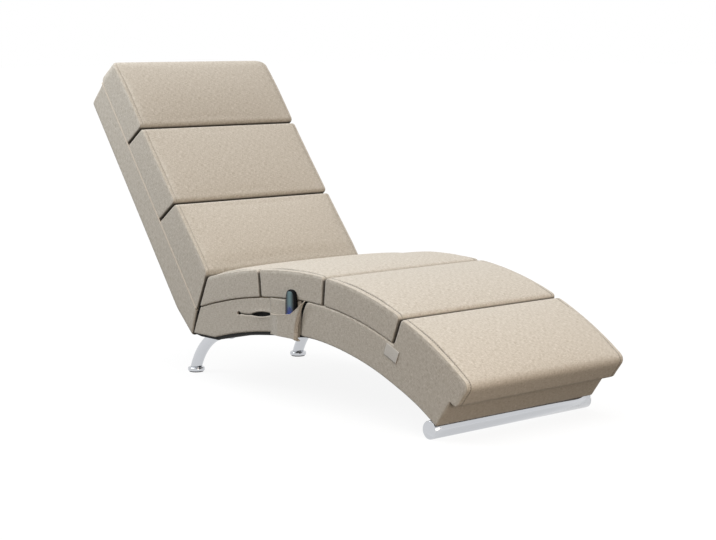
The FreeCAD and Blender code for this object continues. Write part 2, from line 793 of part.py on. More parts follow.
def fastenings():
    """Straps between back and seat, their bolts, and the bolts between seat and leg modules."""
    straps, bolts = [], []
    arms = ("back", "seat")
    inner = rail_inside - s.strap
    for side, bar in zip((1, -1), twin_slabs("strap", strap_outline(), {}, inner, rail_inside)):
        straps.append(cut(bar.Name + "_bored", bar, strap_bolt_holes(bar.Name, side, arms)))
        shanks = strap_bolts(bar.Name + "_bolt", s.bolt, side, arms, inner, inside - s.bolt_cover)
        heads = strap_bolts(bar.Name + "_head", s.bolt_head, side, arms, inner - s.bolt_head_height, inner)
        bolts += [fuse(a.Name + "_whole", [a, b]) for a, b in zip(shanks, heads)]
    node("back_straps", group("straps", straps))
    for index, (y, z) in enumerate(module_bolt_places()):
        shank = place(rod("module_shank_%d" % index, s.bolt, s.ply * 2), joint_x - s.ply, y, z, dim(90))
        pieces = [shank]
        for end, x in enumerate((joint_x - s.ply - s.bolt_head_height, joint_x + s.ply)):
            head = rod("module_head_%d_%d" % (index, end), s.bolt_head, s.bolt_head_height)
            pieces.append(place(head, x, y, z, dim(90)))
        bolts.append(fuse("module_bolt_%d" % index, pieces))
    node("frame_bolts", group("bolts", bolts))


# Rear legs

leg_centre_x = s.leg_block_rear + s.leg_block_length / 2
leg_foot_top = s.glide_height + s.foot_height
leg_run_z = leg_seat_z - s.leg_plate + s.leg_weld - s.leg_tube / 2


def leg_screw_places():
    spots = []
    for side in (1, -1):
        for dx in (-s.leg_hole_x, s.leg_hole_x):
            for dy in (-s.leg_hole_y, s.leg_hole_y):
                spots.append((leg_centre_x + dx, leg_spread * side + dy))
    return spots


def leg_screws(name, clearance, with_head):
    """Shanks that go up through the leg plates into the wood, with or without their heads."""
    parts = []
    plate_low = leg_seat_z - s.leg_plate
    for index, (x, y) in enumerate(leg_screw_places()):
        shank = rod("%s_%d" % (name, index), s.screw + clearance * 2, s.leg_plate + s.screw_depth)
        place(shank, x, y, plate_low)
        if with_head:
            head = rod("%s_head_%d" % (name, index), s.screw_head, s.screw_head_height)
            place(head, x, y, plate_low - s.screw_head_height)
            shank = fuse("%s_whole_%d" % (name, index), [shank, head])
        parts.append(shank)
    return parts


def rear_legs():
    """Bent tube welded under a screwed plate, standing on a round foot with a glide."""
    rise = leg_run_z - leg_foot_top
    bend = (s.leg_reach * s.leg_reach + rise * rise) / (rise * 2)
    bend_end = s.foot_x + s.leg_reach
    low = s.glide_height
    drop = low - leg_run_z + bend
    start_x = bend_end - root(bend * bend - drop * drop)
    run_end = s.leg_block_rear + s.leg_block_length - s.leg_block_margin
    discs, glides = [], []
    for label, side in (("left", 1), ("right", -1)):
        y = leg_spread * side
        body = doc.addObject("PartDesign::Body", "leg_pipe_" + label)
        spine = new_sketch(body, "leg_spine_" + label, "XZ_Plane", -y)
        draw(spine, [(run_end, leg_run_z), (bend_end, leg_run_z), (start_x, low)], {1: bend}, closed=False)
        ring = new_sketch(body, "leg_ring_" + label, "YZ_Plane", run_end)
        ring.addGeometry(Part.Circle(FreeCAD.Vector(y.number, leg_run_z.number, 0), FreeCAD.Vector(0, 0, 1),
                                     s.leg_tube.number / 2))
        bind(ring, Sketcher.Constraint("DistanceX", -1, 1, 0, 3, y.number), y)
        bind(ring, Sketcher.Constraint("DistanceY", -1, 1, 0, 3, leg_run_z.number), leg_run_z)
        bind(ring, Sketcher.Constraint("Radius", 0, s.leg_tube.number / 2), s.leg_tube / 2)
        pipe = body.newObject("PartDesign::AdditivePipe", "leg_sweep_" + label)
        pipe.Profile = ring
        pipe.Spine = spine
        below = block("leg_trim_" + label, (s.foot_x - s.foot_disc, y - s.foot_disc, -s.foot_height),
                      (s.foot_x + s.foot_disc, y + s.foot_disc, leg_foot_top))
        rear = s.leg_block_rear + s.leg_block_margin
        plate = block("leg_plate_" + label, (rear, y - s.leg_plate_width / 2, leg_seat_z - s.leg_plate),
                      (run_end, y + s.leg_plate_width / 2, leg_seat_z))
        holes = leg_screws("leg_hole_" + label, s.screw_clear, False)
        plate = cut("leg_plate_holed_" + label, plate, holes)
        tube = cut("leg_tube_" + label, body, [below])
        node("rear_leg_" + label, fuse("leg_" + label, [tube, plate]))

        foot = doc.addObject("PartDesign::Body", "foot_" + label)
        side_view = new_sketch(foot, "foot_section_" + label, "XZ_Plane", -y)
        edge = s.foot_x + s.foot_disc / 2
        section = [(s.foot_x, s.glide_height), (edge, s.glide_height), (edge, leg_foot_top - s.foot_round),
                   (edge - s.foot_round, leg_foot_top), (s.foot_x, leg_foot_top)]
        draw(side_view, section, {2: s.foot_round})
        turn = foot.newObject("PartDesign::Revolution", "foot_turn_" + label)
        turn.Profile = side_view
        turn.ReferenceAxis = (side_view, ["Edge5"])
        turn.Angle = 360
        discs.append(foot)
        glides.append(place(rod("glide_" + label, s.glide, s.glide_height), s.foot_x, y, 0))
    node("rear_feet", group("feet", discs))
    node("rear_glides", group("glides", glides))
    node("leg_screws", group("screws", leg_screws("leg_screw", dim(0), True)))


# Front tube

def along_tube_normal(distance):
    """Point on the tube's line of screws, at a distance from the tube's axis."""
    ratio = distance / tube_from_centre
    return tube_x + (tube_x - s.arch_x) * ratio, tube_z + (tube_z - leg_under_z) * ratio


def tube_screws(name, clearance, with_head):
    """Screws from inside the tube up into the front beam; the head's edge meets the tube's wall."""
    inner = s.tube / 2 - s.tube_wall
    seat = root(inner * inner - s.screw_head * s.screw_head / 4)
    parts = []
    for side in (1, -1):
        x, z = along_tube_normal(seat)
        shank = rod("%s_%d" % (name, side + 1), s.screw + clearance * 2, s.tube / 2 - seat + s.screw_depth)
        place(shank, x, tube_screw_y * side, z, tube_lean)
        if with_head:
            x, z = along_tube_normal(seat - s.screw_head_height)
            head = rod("%s_head_%d" % (name, side + 1), s.screw_head, s.screw_head_height)
            place(head, x, tube_screw_y * side, z, tube_lean)
            shank = fuse("%s_whole_%d" % (name, side + 1), [shank, head])
        parts.append(shank)
    return parts


def front_tube():
    """Chrome tube across the foot end, open inside, with end caps and hidden screws."""
    y = tube_length / 2
    bore = s.tube - s.tube_wall * 2
    outer = place(rod("tube_outer", s.tube, tube_length), tube_x, y, tube_z, dim(90), (1, 0, 0))
    inner = place(rod("tube_bore", bore, tube_length), tube_x, y, tube_z, dim(90), (1, 0, 0))
    tools = [inner] + tube_screws("tube_hole", s.screw_clear, False)
    for side in (1, -1):
        access = rod("tube_access_%d" % (side + 1), s.tube_access, s.tube / 2)
        x, z = along_tube_normal(-s.tube / 2)
        tools.append(place(access, x, tube_screw_y * side, z, tube_lean))
    node("front_tube", cut("tube", outer, tools))
    caps = []
    for side in (1, -1):
        plug_low = y - s.cap_plug if side > 0 else -y
        face_low = y if side > 0 else -y - s.cap_height
        plug = rod("cap_plug_%d" % (side + 1), bore - s.tube_clear * 2, s.cap_plug)
        place(plug, tube_x, plug_low + s.cap_plug, tube_z, dim(90), (1, 0, 0))
        face = rod("cap_face_%d" % (side + 1), s.tube, s.cap_height)
        place(face, tube_x, face_low + s.cap_height, tube_z, dim(90), (1, 0, 0))
        caps.append(fuse("cap_%d" % (side + 1), [plug, face]))
    node("tube_end_caps", group("caps", caps))
    node("tube_screws", group("tube_screw_pair", tube_screws("tube_screw", dim(0), True)))


# Cushions

STRAIGHT = 1e-6   # an edge longer than its chord by less than this share is straight


def crowned_radius(chord_square, rise):
    """Radius of an arc over a chord, given the chord squared and its rise."""
    return (chord_square / 4 + rise * rise) / (rise * 2)


def span_square(first, last):
    """Squared distance between two points."""
    run, climb = last[0] - first[0], last[1] - first[1]
    return run * run + climb * climb


def arc_lip(x, z, angle, centre_z, radius, side, corner=s.cushion_corner):
    """Rounded lip between a slit and an arched top: its end on the slit and its end on the top.

    The slit runs up from (x, z), leaning forward by angle, and the cushion is in front of it for
    side 1 and behind it for side -1.
    """
    x, z = x + corner * cosine(angle) * side, z - corner * sine(angle) * side
    middle = line_to_arc(x, z, angle, centre_z, radius - corner)
    low = (middle[0] - corner * cosine(angle) * side, middle[1] + corner * sine(angle) * side)
    grow = radius / (radius - corner)
    return low, (s.arch_x + (middle[0] - s.arch_x) * grow, centre_z + (middle[1] - centre_z) * grow)


def flat_lip(tip, down, along):
    """Rounded lip at the corner of a flat cushion, given the directions of its two edges."""
    slant = down[0] * along[0] + down[1] * along[1]
    reach = s.cushion_corner * root((dim(1) + slant) / (dim(1) - slant))
    return [(tip[0] + side[0] * reach, tip[1] + side[1] * reach) for side in (down, along)]


def hip_down():
    """Direction down the hip slit."""
    return -sine(s.hip_angle), -cosine(s.hip_angle)


def cushion(name, base, base_arcs, top, side_arcs, middle_top, middle_arcs):
    """Loft from side to side: one outline at both ends and a crowned one in the middle.

    The base runs from the foot end to the head end; each top starts and ends with its rounded lips,
    and its arcs are counted from its own first corner. The side rounding takes the curved rims first,
    longest first: a list that starts with a lip or a straight side gives a broken shell.
    """
    body = doc.addObject("PartDesign::Body", name)
    sections = []
    outlines = (("left", -half, top, side_arcs), ("middle", dim(0), middle_top, middle_arcs),
                ("right", half, top, side_arcs))
    for label, offset, corners, bends in outlines:
        arcs = dict(base_arcs)
        arcs.update({len(base) + i: radius for i, radius in bends.items()})
        section = new_sketch(body, "%s_%s" % (name, label), "XZ_Plane", offset)
        draw(section, base + corners, arcs)
        sections.append(section)
    loft = body.newObject("PartDesign::AdditiveLoft", name + "_loft")
    loft.Profile = sections[0]
    loft.Sections = sections[1:]
    loft.Refine = False
    doc.recompute()
    rims = []
    for index, edge in enumerate(loft.Shape.Edges, start=1):
        ends = [v.Point for v in edge.Vertexes]
        if min(abs(p.y) for p in ends + [edge.CenterOfMass]) > half.number - s.side_round.number / 2:
            bow = edge.Length / ends[0].distanceToPoint(ends[-1]) - 1
            rims.append((bow > STRAIGHT, edge.Length, "Edge%d" % index))
    sides = body.newObject("PartDesign::Fillet", name + "_sides")
    sides.Base = (loft, [rim for _, _, rim in sorted(rims, reverse=True)])
    sides.Refine = False
    sides.setExpression("Radius", s.side_round.text)
    return body


def crowned_cushion(name, base, base_arcs, head, foot, edge_radius, rise, foot_corner=s.cushion_corner):
    """Cushion with one arc over its top; rise is that arc's rise at the sides."""
    top = [head[0], head[1], foot[1], foot[0]]
    chord = span_square(head[1], foot[1])
    side_arcs = {0: -s.cushion_corner, 1: -edge_radius, 2: -foot_corner}
    middle_arcs = dict(side_arcs)
    middle_arcs[1] = -crowned_radius(chord, rise(chord) + s.crown)
    return cushion(name, base, base_arcs, top, side_arcs, top, middle_arcs)


def arc_rise(radius):
    """Rise of an arc of this radius over a chord, as a function of the chord squared."""
    return lambda chord: radius - root(radius * radius - chord / 4)


def arched_cushion(name, first, last, foot_corner=s.cushion_corner):
    """Cushion on the leg arc between two radial slits."""
    low, top = s.leg_seam_radius + s.cushion_clear, s.leg_seam_radius + s.pad_depth
    base = [polar(leg_seam_z, low, last), polar(leg_seam_z, low, first)]
    head = arc_lip(s.arch_x, leg_seam_z, first, leg_seam_z, top, 1)
    foot = arc_lip(s.arch_x, leg_seam_z, last, leg_seam_z, top, -1, foot_corner)
    return crowned_cushion(name, base, {0: low}, head, foot, top, arc_rise(top), foot_corner)


def rear_seat_cushion(name, last):
    """Rear seat cushion, cut along the hip slit behind and a radial slit in front."""
    low, top = s.seat_seam_radius + s.cushion_clear, s.seat_seam_radius + s.pad_depth
    hip_x, hip_z = hip_line(s.hip_gap / 2, s.hip_z)
    base = [polar(seat_seam_z, low, last), line_to_arc(hip_x, hip_z, s.hip_angle, seat_seam_z, low)]
    head = arc_lip(hip_x, hip_z, s.hip_angle, seat_seam_z, top, 1)
    foot = arc_lip(s.arch_x, seat_seam_z, last, seat_seam_z, top, -1)
    return crowned_cushion(name, base, {0: low}, head, foot, top, arc_rise(top))


def crest_cushion(name, first, last):
    """Front seat cushion, which runs over the crest from the seat arc to the leg arc."""
    low_seat, low_leg = s.seat_seam_radius + s.cushion_clear, s.leg_seam_radius + s.cushion_clear
    top_seat, top_leg = s.seat_seam_radius + s.pad_depth, s.leg_seam_radius + s.pad_depth
    base = [polar(leg_seam_z, low_leg, last), (s.arch_x, seam_z + s.cushion_clear),
            polar(seat_seam_z, low_seat, first)]
    head = arc_lip(s.arch_x, seat_seam_z, first, seat_seam_z, top_seat, 1)
    foot = arc_lip(s.arch_x, leg_seam_z, last, leg_seam_z, top_leg, -1)
    crest = (s.arch_x, seam_z + s.pad_depth)
    raised = (s.arch_x, crest[1] + s.crown)
    side_arcs = {0: -s.cushion_corner, 1: -top_seat, 2: -top_leg, 3: -s.cushion_corner}
    middle_arcs = dict(side_arcs)
    for edge, end in ((1, head[1]), (2, foot[1])):
        middle_arcs[edge] = -(span_square(end, raised) / ((raised[1] - end[1]) * 2))
    outlines = [[head[0], head[1], middle, foot[1], foot[0]] for middle in (crest, raised)]
    return cushion(name, base, {0: low_leg, 1: low_seat}, outlines[0], side_arcs, outlines[1], middle_arcs)


def back_cushion(name, low, high):
    """Flat-backed cushion on the back board; without a low end it is cut along the hip slit."""
    under, out = s.cushion_clear, s.back_pad
    inward = (-cosine(s.back_lean), -sine(s.back_lean))
    upward = (-sine(s.back_lean), cosine(s.back_lean))
    downward = (sine(s.back_lean), -cosine(s.back_lean))
    base_low = back_end(under) if low is None else low
    tip_low = back_end(out) if low is None else low
    base = [back_point(base_low, under), back_point(high, under)]
    head = flat_lip(back_point(high, out), inward, downward)
    foot = flat_lip(back_point(tip_low, out), hip_down() if low is None else inward, upward)
    edge_radius = crowned_radius(span_square(head[1], foot[1]), s.edge_crown)
    return crowned_cushion(name, base, {}, head, foot, edge_radius, lambda chord: s.edge_crown)


def cushions():
    """Seven cushions, three of them with rooms cut under them for the motors."""
    half_gap = s.cushion_gap / 2
    gap_leg = degrees(half_gap / s.leg_seam_radius)
    gap_seat = degrees(half_gap / s.seat_seam_radius)
    top = back_cushion("top_back", s.upper_slit + half_gap, s.back_cushion_top)
    node("back_top_cushion", cut("top_back_cushion", top, motor_rooms("shoulder")))
    node("back_middle_cushion", back_cushion("middle_back", s.lower_slit + half_gap, s.upper_slit - half_gap))
    lower = back_cushion("lower_back", None, s.lower_slit - half_gap)
    node("back_lower_cushion", cut("lower_back_cushion", lower, motor_rooms("lumbar") + [heater_room()]))
    node("seat_rear_cushion", rear_seat_cushion("rear_seat", -s.thigh_slit_angle - gap_seat))
    crest = crest_cushion("front_seat", -s.thigh_slit_angle + gap_seat, s.calf_slit_angle - gap_leg)
    node("seat_front_cushion", crest)
    calf = arched_cushion("calf", s.calf_slit_angle + gap_leg, s.foot_slit_angle - gap_leg)
    node("calf_cushion", cut("calf_whole", calf, motor_rooms("calf")))
    toe = arched_cushion("foot_rest", s.foot_slit_angle + gap_leg, foot_end_angle, s.toe_corner)
    node("foot_cushion", toe)


# Massage motors and heating

def motor_places(zone):
    """Seat point and lean of each motor of a zone, on the board under its cushion."""
    if zone == "calf":
        x, z = polar(leg_seam_z, s.leg_seam_radius + s.motor_seat_clear, s.calf_motor_angle)
        lean = s.calf_motor_angle
    else:
        up = s.shoulder_motor if zone == "shoulder" else s.lumbar_motor
        x, z = back_point(up, s.motor_seat_clear)
        lean = dim(90) - s.back_lean
    return [("left", x, s.motor_spread, z, lean), ("right", x, -s.motor_spread, z, lean)]


def motor_rooms(zone):
    rooms = []
    for label, x, y, z, lean in motor_places(zone):
        room = rod("%s_room_%s" % (zone, label), s.motor_cover + s.motor_room * 2,
                   s.motor_cover_height + s.motor_room)
        rooms.append(place(room, x, y, z, lean))
    return rooms


def motors():
    """Covers and motor cans on the boards, and in each an eccentric rotor that hangs at rest."""
    covers, cans = [], []
    for zone in ("shoulder", "lumbar", "calf"):
        for label, x, y, z, lean in motor_places(zone):
            key = "%s_%s" % (zone, label)
            outer = rod(key + "_cup", s.motor_cover, s.motor_cover_height)
            hollow = rod(key + "_hollow", s.motor_cover - s.motor_cover_wall * 2,
                         s.motor_cover_height - s.motor_cover_wall)
            covers.append(place(cut(key + "_cover", outer, [hollow]), x, y, z, lean))
            can = rod(key + "_can", s.motor_can, s.motor_can_height)
            bore = rod(key + "_bore", s.shaft + s.shaft_clear * 2, s.motor_can_height)
            place(bore, 0, 0, s.motor_floor)
            cans.append(place(cut(key + "_motor", can, [bore]), x, y, z, lean))
            start = s.motor_floor + s.shaft_end_clear
            shaft = place(rod(key + "_shaft", s.shaft, s.shaft_top - start), 0, 0, start)
            hub = place(rod(key + "_hub", s.weight_hub, s.weight_height), 0, 0, s.weight_low)
            weight = rod(key + "_weight", s.weight, s.weight_height)
            weight.Angle = 180
            place(weight, 0, 0, s.weight_low, dim(-90), (0, 0, 1))
            rotor = place(fuse(key + "_rotor", [shaft, hub, weight]), x, y, z, lean)
            node("%s_rotor_%s" % (zone, label), rotor)
    node("motor_covers", group("covers", covers))
    node("motor_cans", group("cans", cans))


def heater_slab(name, grow, up_to):
    """Flat pad in the lower back cushion, or its slot when grown."""
    low = s.lower_slit - s.cushion_gap / 2 - s.heater_length
    out = s.heater_depth - grow
    far = s.heater_depth + s.heater + grow
    corners = [back_point(low - grow, out), back_point(up_to, out),
               back_point(up_to, far), back_point(low - grow, far)]
    wide = s.heater_width / 2 + grow
    return slab(name, corners, {}, -wide, wide)


def heater_room():
    return heater_slab("heater_slot", s.heater_clear, s.lower_slit)


def heater():
    top = s.lower_slit - s.cushion_gap / 2 - s.heater_clear
    node("lumbar_heating_pad", heater_slab("heater_pad", dim(0), top))


# Control box

def control_box():
    """Moulded box screwed to the front rail of the seat, its lid and the power socket under it."""
    front = joint_x - s.ply
    rear = front - s.box_length
    wide = s.box_width / 2
    top = s.box_base + s.box_height
    shell = block("box_outer", (rear, -wide, s.box_base), (front, wide, top))
    wall = s.box_wall
    hollow = block("box_hollow", (rear + wall, -wide + wall, s.box_base + wall),
                   (front - wall, wide - wall, top + wall))
    node("control_box", cut("box", shell, [hollow]))
    plate = block("lid_plate", (rear, -wide, top), (front, wide, top + s.lid))
    gap = wall + s.lid_clear
    lip = block("lid_lip_block", (rear + gap, -wide + gap, top - s.lid_lip), (front - gap, wide - gap, top))
    node("control_box_lid", fuse("box_lid", [plate, lip]))
    low = s.box_base - s.socket_drop
    barrel = place(rod("socket_barrel", s.socket, s.socket_drop), s.socket_x, 0, low)
    bore = place(rod("socket_bore_rod", s.socket_bore, s.socket_bore_depth), s.socket_x, 0, low)
    node("power_socket", cut("socket_whole", barrel, [bore]))


# Handset and its pocket

pocket_front_x = seat_front
pocket_rear_x = seat_front - s.pocket_length
handset_back_y = -half - s.pocket_back - s.pocket_clear
handset_front_y = handset_back_y - s.handset_thickness
pocket_inner_y = handset_front_y - s.button_proud - s.pocket_clear
handset_base = s.pocket_base + s.pocket_floor + s.handset_seat
handset_x = pocket_front_x - s.pocket_wall - s.handset_from_edge - s.handset_width / 2


def pocket():
    """Sewn pouch: a back layer, a lower sloping front layer, and a bottom and ends that join them."""
    outer_y = pocket_inner_y - s.pocket_front
    lip = [(pocket_front_x, s.pocket_high_lip), (pocket_rear_x, s.pocket_low_lip),
           (pocket_rear_x, s.pocket_base), (pocket_front_x, s.pocket_base)]
    body = slab("pouch", lip, {}, outer_y, -half)
    back = block("pouch_back", (pocket_rear_x, -half - s.pocket_back, s.pocket_base),
                 (pocket_front_x, -half, s.pocket_back_top))
    floor = s.pocket_base + s.pocket_floor
    hollow = block("pouch_hollow", (pocket_rear_x + s.pocket_wall, pocket_inner_y, floor),
                   (pocket_front_x - s.pocket_wall, -half - s.pocket_back, s.pocket_back_top))
    node("side_pocket", cut("pouch_whole", fuse("pouch_solid", [body, back]), [hollow]))


def handset_outline(inset):
    """Front outline of the handset: gently bowed sides, narrower at the top."""
    wide = s.handset_width / 2 - inset
    slim = s.handset_top_width / 2 - inset
    low, high = handset_base + inset, handset_base + s.handset_length - inset
    shoulder = handset_base + s.handset_shoulder
    end_low, end_high = low + s.handset_end_rise, high - s.handset_end_rise
    points = [(handset_x + wide, shoulder), (handset_x + slim, end_high), (handset_x - slim, end_high),
              (handset_x - wide, shoulder), (handset_x - wide, end_low), (handset_x + wide, end_low)]
    taper, climb = wide - slim, end_high - shoulder
    side = taper * taper + climb * climb
    bow = crowned_radius(side, s.handset_side_rise)
    top_end = crowned_radius(slim * slim * 4, s.handset_end_rise)
    low_end = crowned_radius(wide * wide * 4, s.handset_end_rise)
    return points, {0: bow, 1: top_end, 2: bow, 4: low_end}


def handset_slab(name, inset, y_low, y_high):
    points, arcs = handset_outline(inset)
    return slab(name, points, arcs, y_low, y_high)


def button_places():
    """Name, X and height of each button."""
    spread = s.button_spread
    rows = [("power", dim(0), s.power_button),
            ("mode", -spread, s.upper_buttons), ("heat", spread, s.upper_buttons),
            ("zone", -spread, s.lower_buttons), ("strength", spread, s.lower_buttons)]
    return [(label, handset_x + dx, handset_base + up) for label, dx, up in rows]


def button_rod(name, diameter, x, z, y_low, y_high):
    return place(rod(name, diameter, y_high - y_low), x, y_high, z, dim(90), (1, 0, 0))


def handset():
    """Two moulded shells, a display window, a circuit board with switches, and five buttons."""
    split_y = handset_back_y - s.shell_split
    zero = dim(0)
    rear = handset_slab("rear_shell", zero, split_y, handset_back_y)
    rear_hollow = handset_slab("rear_hollow", s.shell_rear_wall, split_y, handset_back_y - s.shell_rear_wall)
    node("handset_rear_shell", cut("rear_shell_whole", rear, [rear_hollow]))

    face_in = handset_front_y + s.shell_front_wall
    board_front = split_y - s.board
    collar_out = face_in + s.button_clear
    collar_in = collar_out + s.button_collar_height
    front = handset_slab("front_shell", zero, handset_front_y, split_y)
    tools = [handset_slab("front_hollow", s.shell_front_wall, face_in, split_y)]
    pieces = [handset_slab("board_sheet", s.shell_front_wall + s.board_clear, board_front, split_y)]
    for label, x, z in button_places():
        around = s.button + s.button_clear * 2
        tools.append(button_rod(label + "_hole", around, x, z, handset_front_y, face_in))
        stem = button_rod(label + "_stem", s.button, x, z, handset_front_y - s.button_proud, collar_in)
        collar = button_rod(label + "_collar", s.button_collar, x, z, collar_out, collar_in)
        node("%s_button" % label, fuse(label + "_whole", [stem, collar]))
        switch_front = collar_in + s.button_travel + s.button_rest_clear
        pieces.append(button_rod(label + "_switch", s.switch, x, z, switch_front, board_front))
    low = handset_base + s.window_low
    wide = s.window_width / 2
    deep = handset_front_y + s.window_depth
    gap = s.window_clear
    recess = block("window_recess", (handset_x - wide - gap, handset_front_y, low - gap),
                   (handset_x + wide + gap, deep, low + s.window_height + gap))
    node("handset_front_shell", cut("front_shell_whole", front, tools + [recess]))
    node("handset_display", block("display", (handset_x - wide, handset_front_y, low),
                                  (handset_x + wide, deep, low + s.window_height)))
    node("handset_circuit_board", fuse("circuit_board", pieces))


def side_tab():
    """Blank sewn tab on the right side of the leg base, just under the seam."""
    top = s.leg_seam_radius - s.tab_below_seam
    low = top - s.tab_height
    corners = [polar(leg_seam_z, top, s.tab_front_angle), polar(leg_seam_z, top, s.tab_rear_angle),
               polar(leg_seam_z, low, s.tab_rear_angle), polar(leg_seam_z, low, s.tab_front_angle)]
    node("side_tab", slab("tab", corners, {}, -half - s.tab_thickness, -half))


back_module()
seat_module()
leg_module()
dust_covers()
fastenings()
rear_legs()
front_tube()
cushions()
motors()
heater()
control_box()
pocket()
handset()
side_tab()
doc.recompute()

for item in doc.Objects:
    if "Invalid" in item.State or "Error" in item.State:
        raise RuntimeError("%s did not build" % item.Name)
for label, part in nodes.items():
    if part.Shape.isNull() or not part.Shape.isValid():
        raise RuntimeError("%s has no valid shape" % label)

os.makedirs("parts", exist_ok=True)
for label, part in nodes.items():
    part.Shape.exportStep("parts/%s.step" % label)
print("%d sub-parts written" % len(nodes))
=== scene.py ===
import json
import math

import bpy
import numpy as np
from bpy.props import FloatProperty, FloatVectorProperty, IntProperty, PointerProperty
from mathutils import Matrix, Vector


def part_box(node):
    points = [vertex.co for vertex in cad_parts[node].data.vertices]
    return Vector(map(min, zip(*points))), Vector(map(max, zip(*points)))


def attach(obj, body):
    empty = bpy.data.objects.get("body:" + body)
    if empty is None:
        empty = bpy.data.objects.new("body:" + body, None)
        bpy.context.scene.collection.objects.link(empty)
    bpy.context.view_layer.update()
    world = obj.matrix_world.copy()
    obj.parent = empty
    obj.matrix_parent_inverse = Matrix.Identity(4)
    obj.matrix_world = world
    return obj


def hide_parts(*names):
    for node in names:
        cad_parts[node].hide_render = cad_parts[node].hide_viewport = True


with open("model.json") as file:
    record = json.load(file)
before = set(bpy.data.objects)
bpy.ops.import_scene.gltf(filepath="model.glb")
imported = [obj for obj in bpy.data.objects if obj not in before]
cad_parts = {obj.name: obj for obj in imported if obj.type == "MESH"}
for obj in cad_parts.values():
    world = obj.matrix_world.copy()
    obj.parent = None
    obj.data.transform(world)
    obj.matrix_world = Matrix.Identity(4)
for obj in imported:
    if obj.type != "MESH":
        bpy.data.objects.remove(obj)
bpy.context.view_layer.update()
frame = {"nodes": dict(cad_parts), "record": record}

bl_info = {
    "name": "Massage Lounger",
    "version": (1, 0, 0),
    "blender": (4, 5, 0),
    "location": "3D View > Sidebar > Lounger",
    "description": "Upholstery, chrome and handset of a wave-shaped massage lounger",
    "category": "Object",
}

# Metres and radians, in the frame of the solids: +X from head to foot, +Z up, the pouch on the -Y side.
HALF = 0.275              # half the width of the frame and its panels
WIDE = 0.278              # half the width over the padding
PANEL = 0.012             # padded side panel
ARCH_X = 0.1825           # crest of the seat wave
SEAM_Z = 0.279            # top of the base at the crest
LEG_R = 0.932             # base top in front of the crest
SEAT_R = 1.5              # base top behind the crest
LEG_UNDER_R = 0.882       # underside of the base in front of the crest
SEAT_UNDER_R = 1.4        # underside behind the crest
ARCH_UNDER = 0.187        # height of the underside at the crest
SEAT_FLOOR = 0.134        # flat underside behind the arch
PAD = 0.074               # seat and leg cushions at their edges
BACK_PAD = 0.088          # back cushions
BACK_LEAN = math.radians(36.3)
BACK_X, BACK_Z = -0.309, 0.243
BACK_DEPTH = 0.084
HEEL = 0.018              # how far the back's rear lower edge is drawn in
HIP_LEAN = math.radians(24)
HIP_X, HIP_Z, HIP_GAP = -0.269, 0.210, 0.008
CUSHION_GAP = 0.005
MODULE_GAP = 0.009
JOINT_X = 0.177
THIGH_SLIT = -math.radians(6.65) * SEAT_R                 # places along the seam, from the crest
CALF_SLIT = math.radians(4.95) * LEG_R
FOOT_SLIT = math.radians(21.65) * LEG_R
LEG_END, TOE_END = math.radians(35.85) * LEG_R, math.radians(37.25) * LEG_R
LOWER_SLIT, UPPER_SLIT, BACK_TOP = 0.239, 0.496, 0.742    # places up the back
BACK_BASE_TOP, BACK_TOP_FALL = 0.711, 0.015
GRID, BASE_GRID = 0.0065, 0.012                           # spacing of points on the cushions and on the bases
SEATED, COVER_GAP = 0.0006, 0.0004                        # cushions lie this far above the seam, bases below it
THREAD = 0.0006           # half the thickness of the sewing thread
BASE_HIGH, SEAT_LONG = 0.09, 0.44                         # flat size of the base sides before they are bent
SIDES = (("left", 1), ("right", -1))


def srgb(text):
    """An sRGB hex colour as linear RGBA."""
    value = np.array([int(text[i:i + 2], 16) for i in (1, 3, 5)]) / 255
    linear = np.where(value <= 0.04045, value / 12.92, ((value + 0.055) / 1.055) ** 2.4)
    return (*linear.tolist(), 1.0)


def colour(name, description, text):
    return FloatVectorProperty(name=name, description=description, subtype="COLOR", size=4, min=0, max=1,
                               default=srgb(text))


def length(name, description, value):
    return FloatProperty(name=name, description=description, default=value, unit="LENGTH", precision=4)


class LoungerForm(bpy.types.PropertyGroup):
    crown: length("Crown", "Rise of a cushion's middle before it is blown up", 0.006)
    swell: length("Swell", "Most that the blown-up cover may move", 0.004)
    lumbar: length("Lumbar swell", "How far the lower back cushion stands forward at its foot", 0.017)
    top_fall: length("Top fall", "How far the back's top end falls back", 0.009)
    corner: length("Corner", "Rounding of the back's two top corners", 0.040)
    lip: length("Lip", "Rounding of a cushion at a slit", 0.011)
    side_round: length("Side rounding", "Rounding of a cushion's upper side edge", 0.0075)
    toe_round: length("Toe rounding", "Rounding of the foot cushion's front edge", 0.019)
    stitch_inset: length("Top stitch inset", "Top stitch from the side of a seat or leg cushion", 0.0135)
    back_stitch_inset: length("Back stitch inset", "Top stitch from the side of a back cushion", 0.0105)
    stitch: length("Stitch", "Length of one stitch", 0.0045)
    stitch_pitch: length("Stitch pitch", "From one stitch to the next", 0.0068)
    joint_lean: length("Joint lean", "How far the leg base's upper rear corner is drawn forward", 0.026)
    liner_sag: length("Liner sag", "How far the dust cloth hangs below the base", 0.0085)
    cloth_frames: IntProperty(name="Cloth frames", description="Steps of the cloth simulation", default=18)


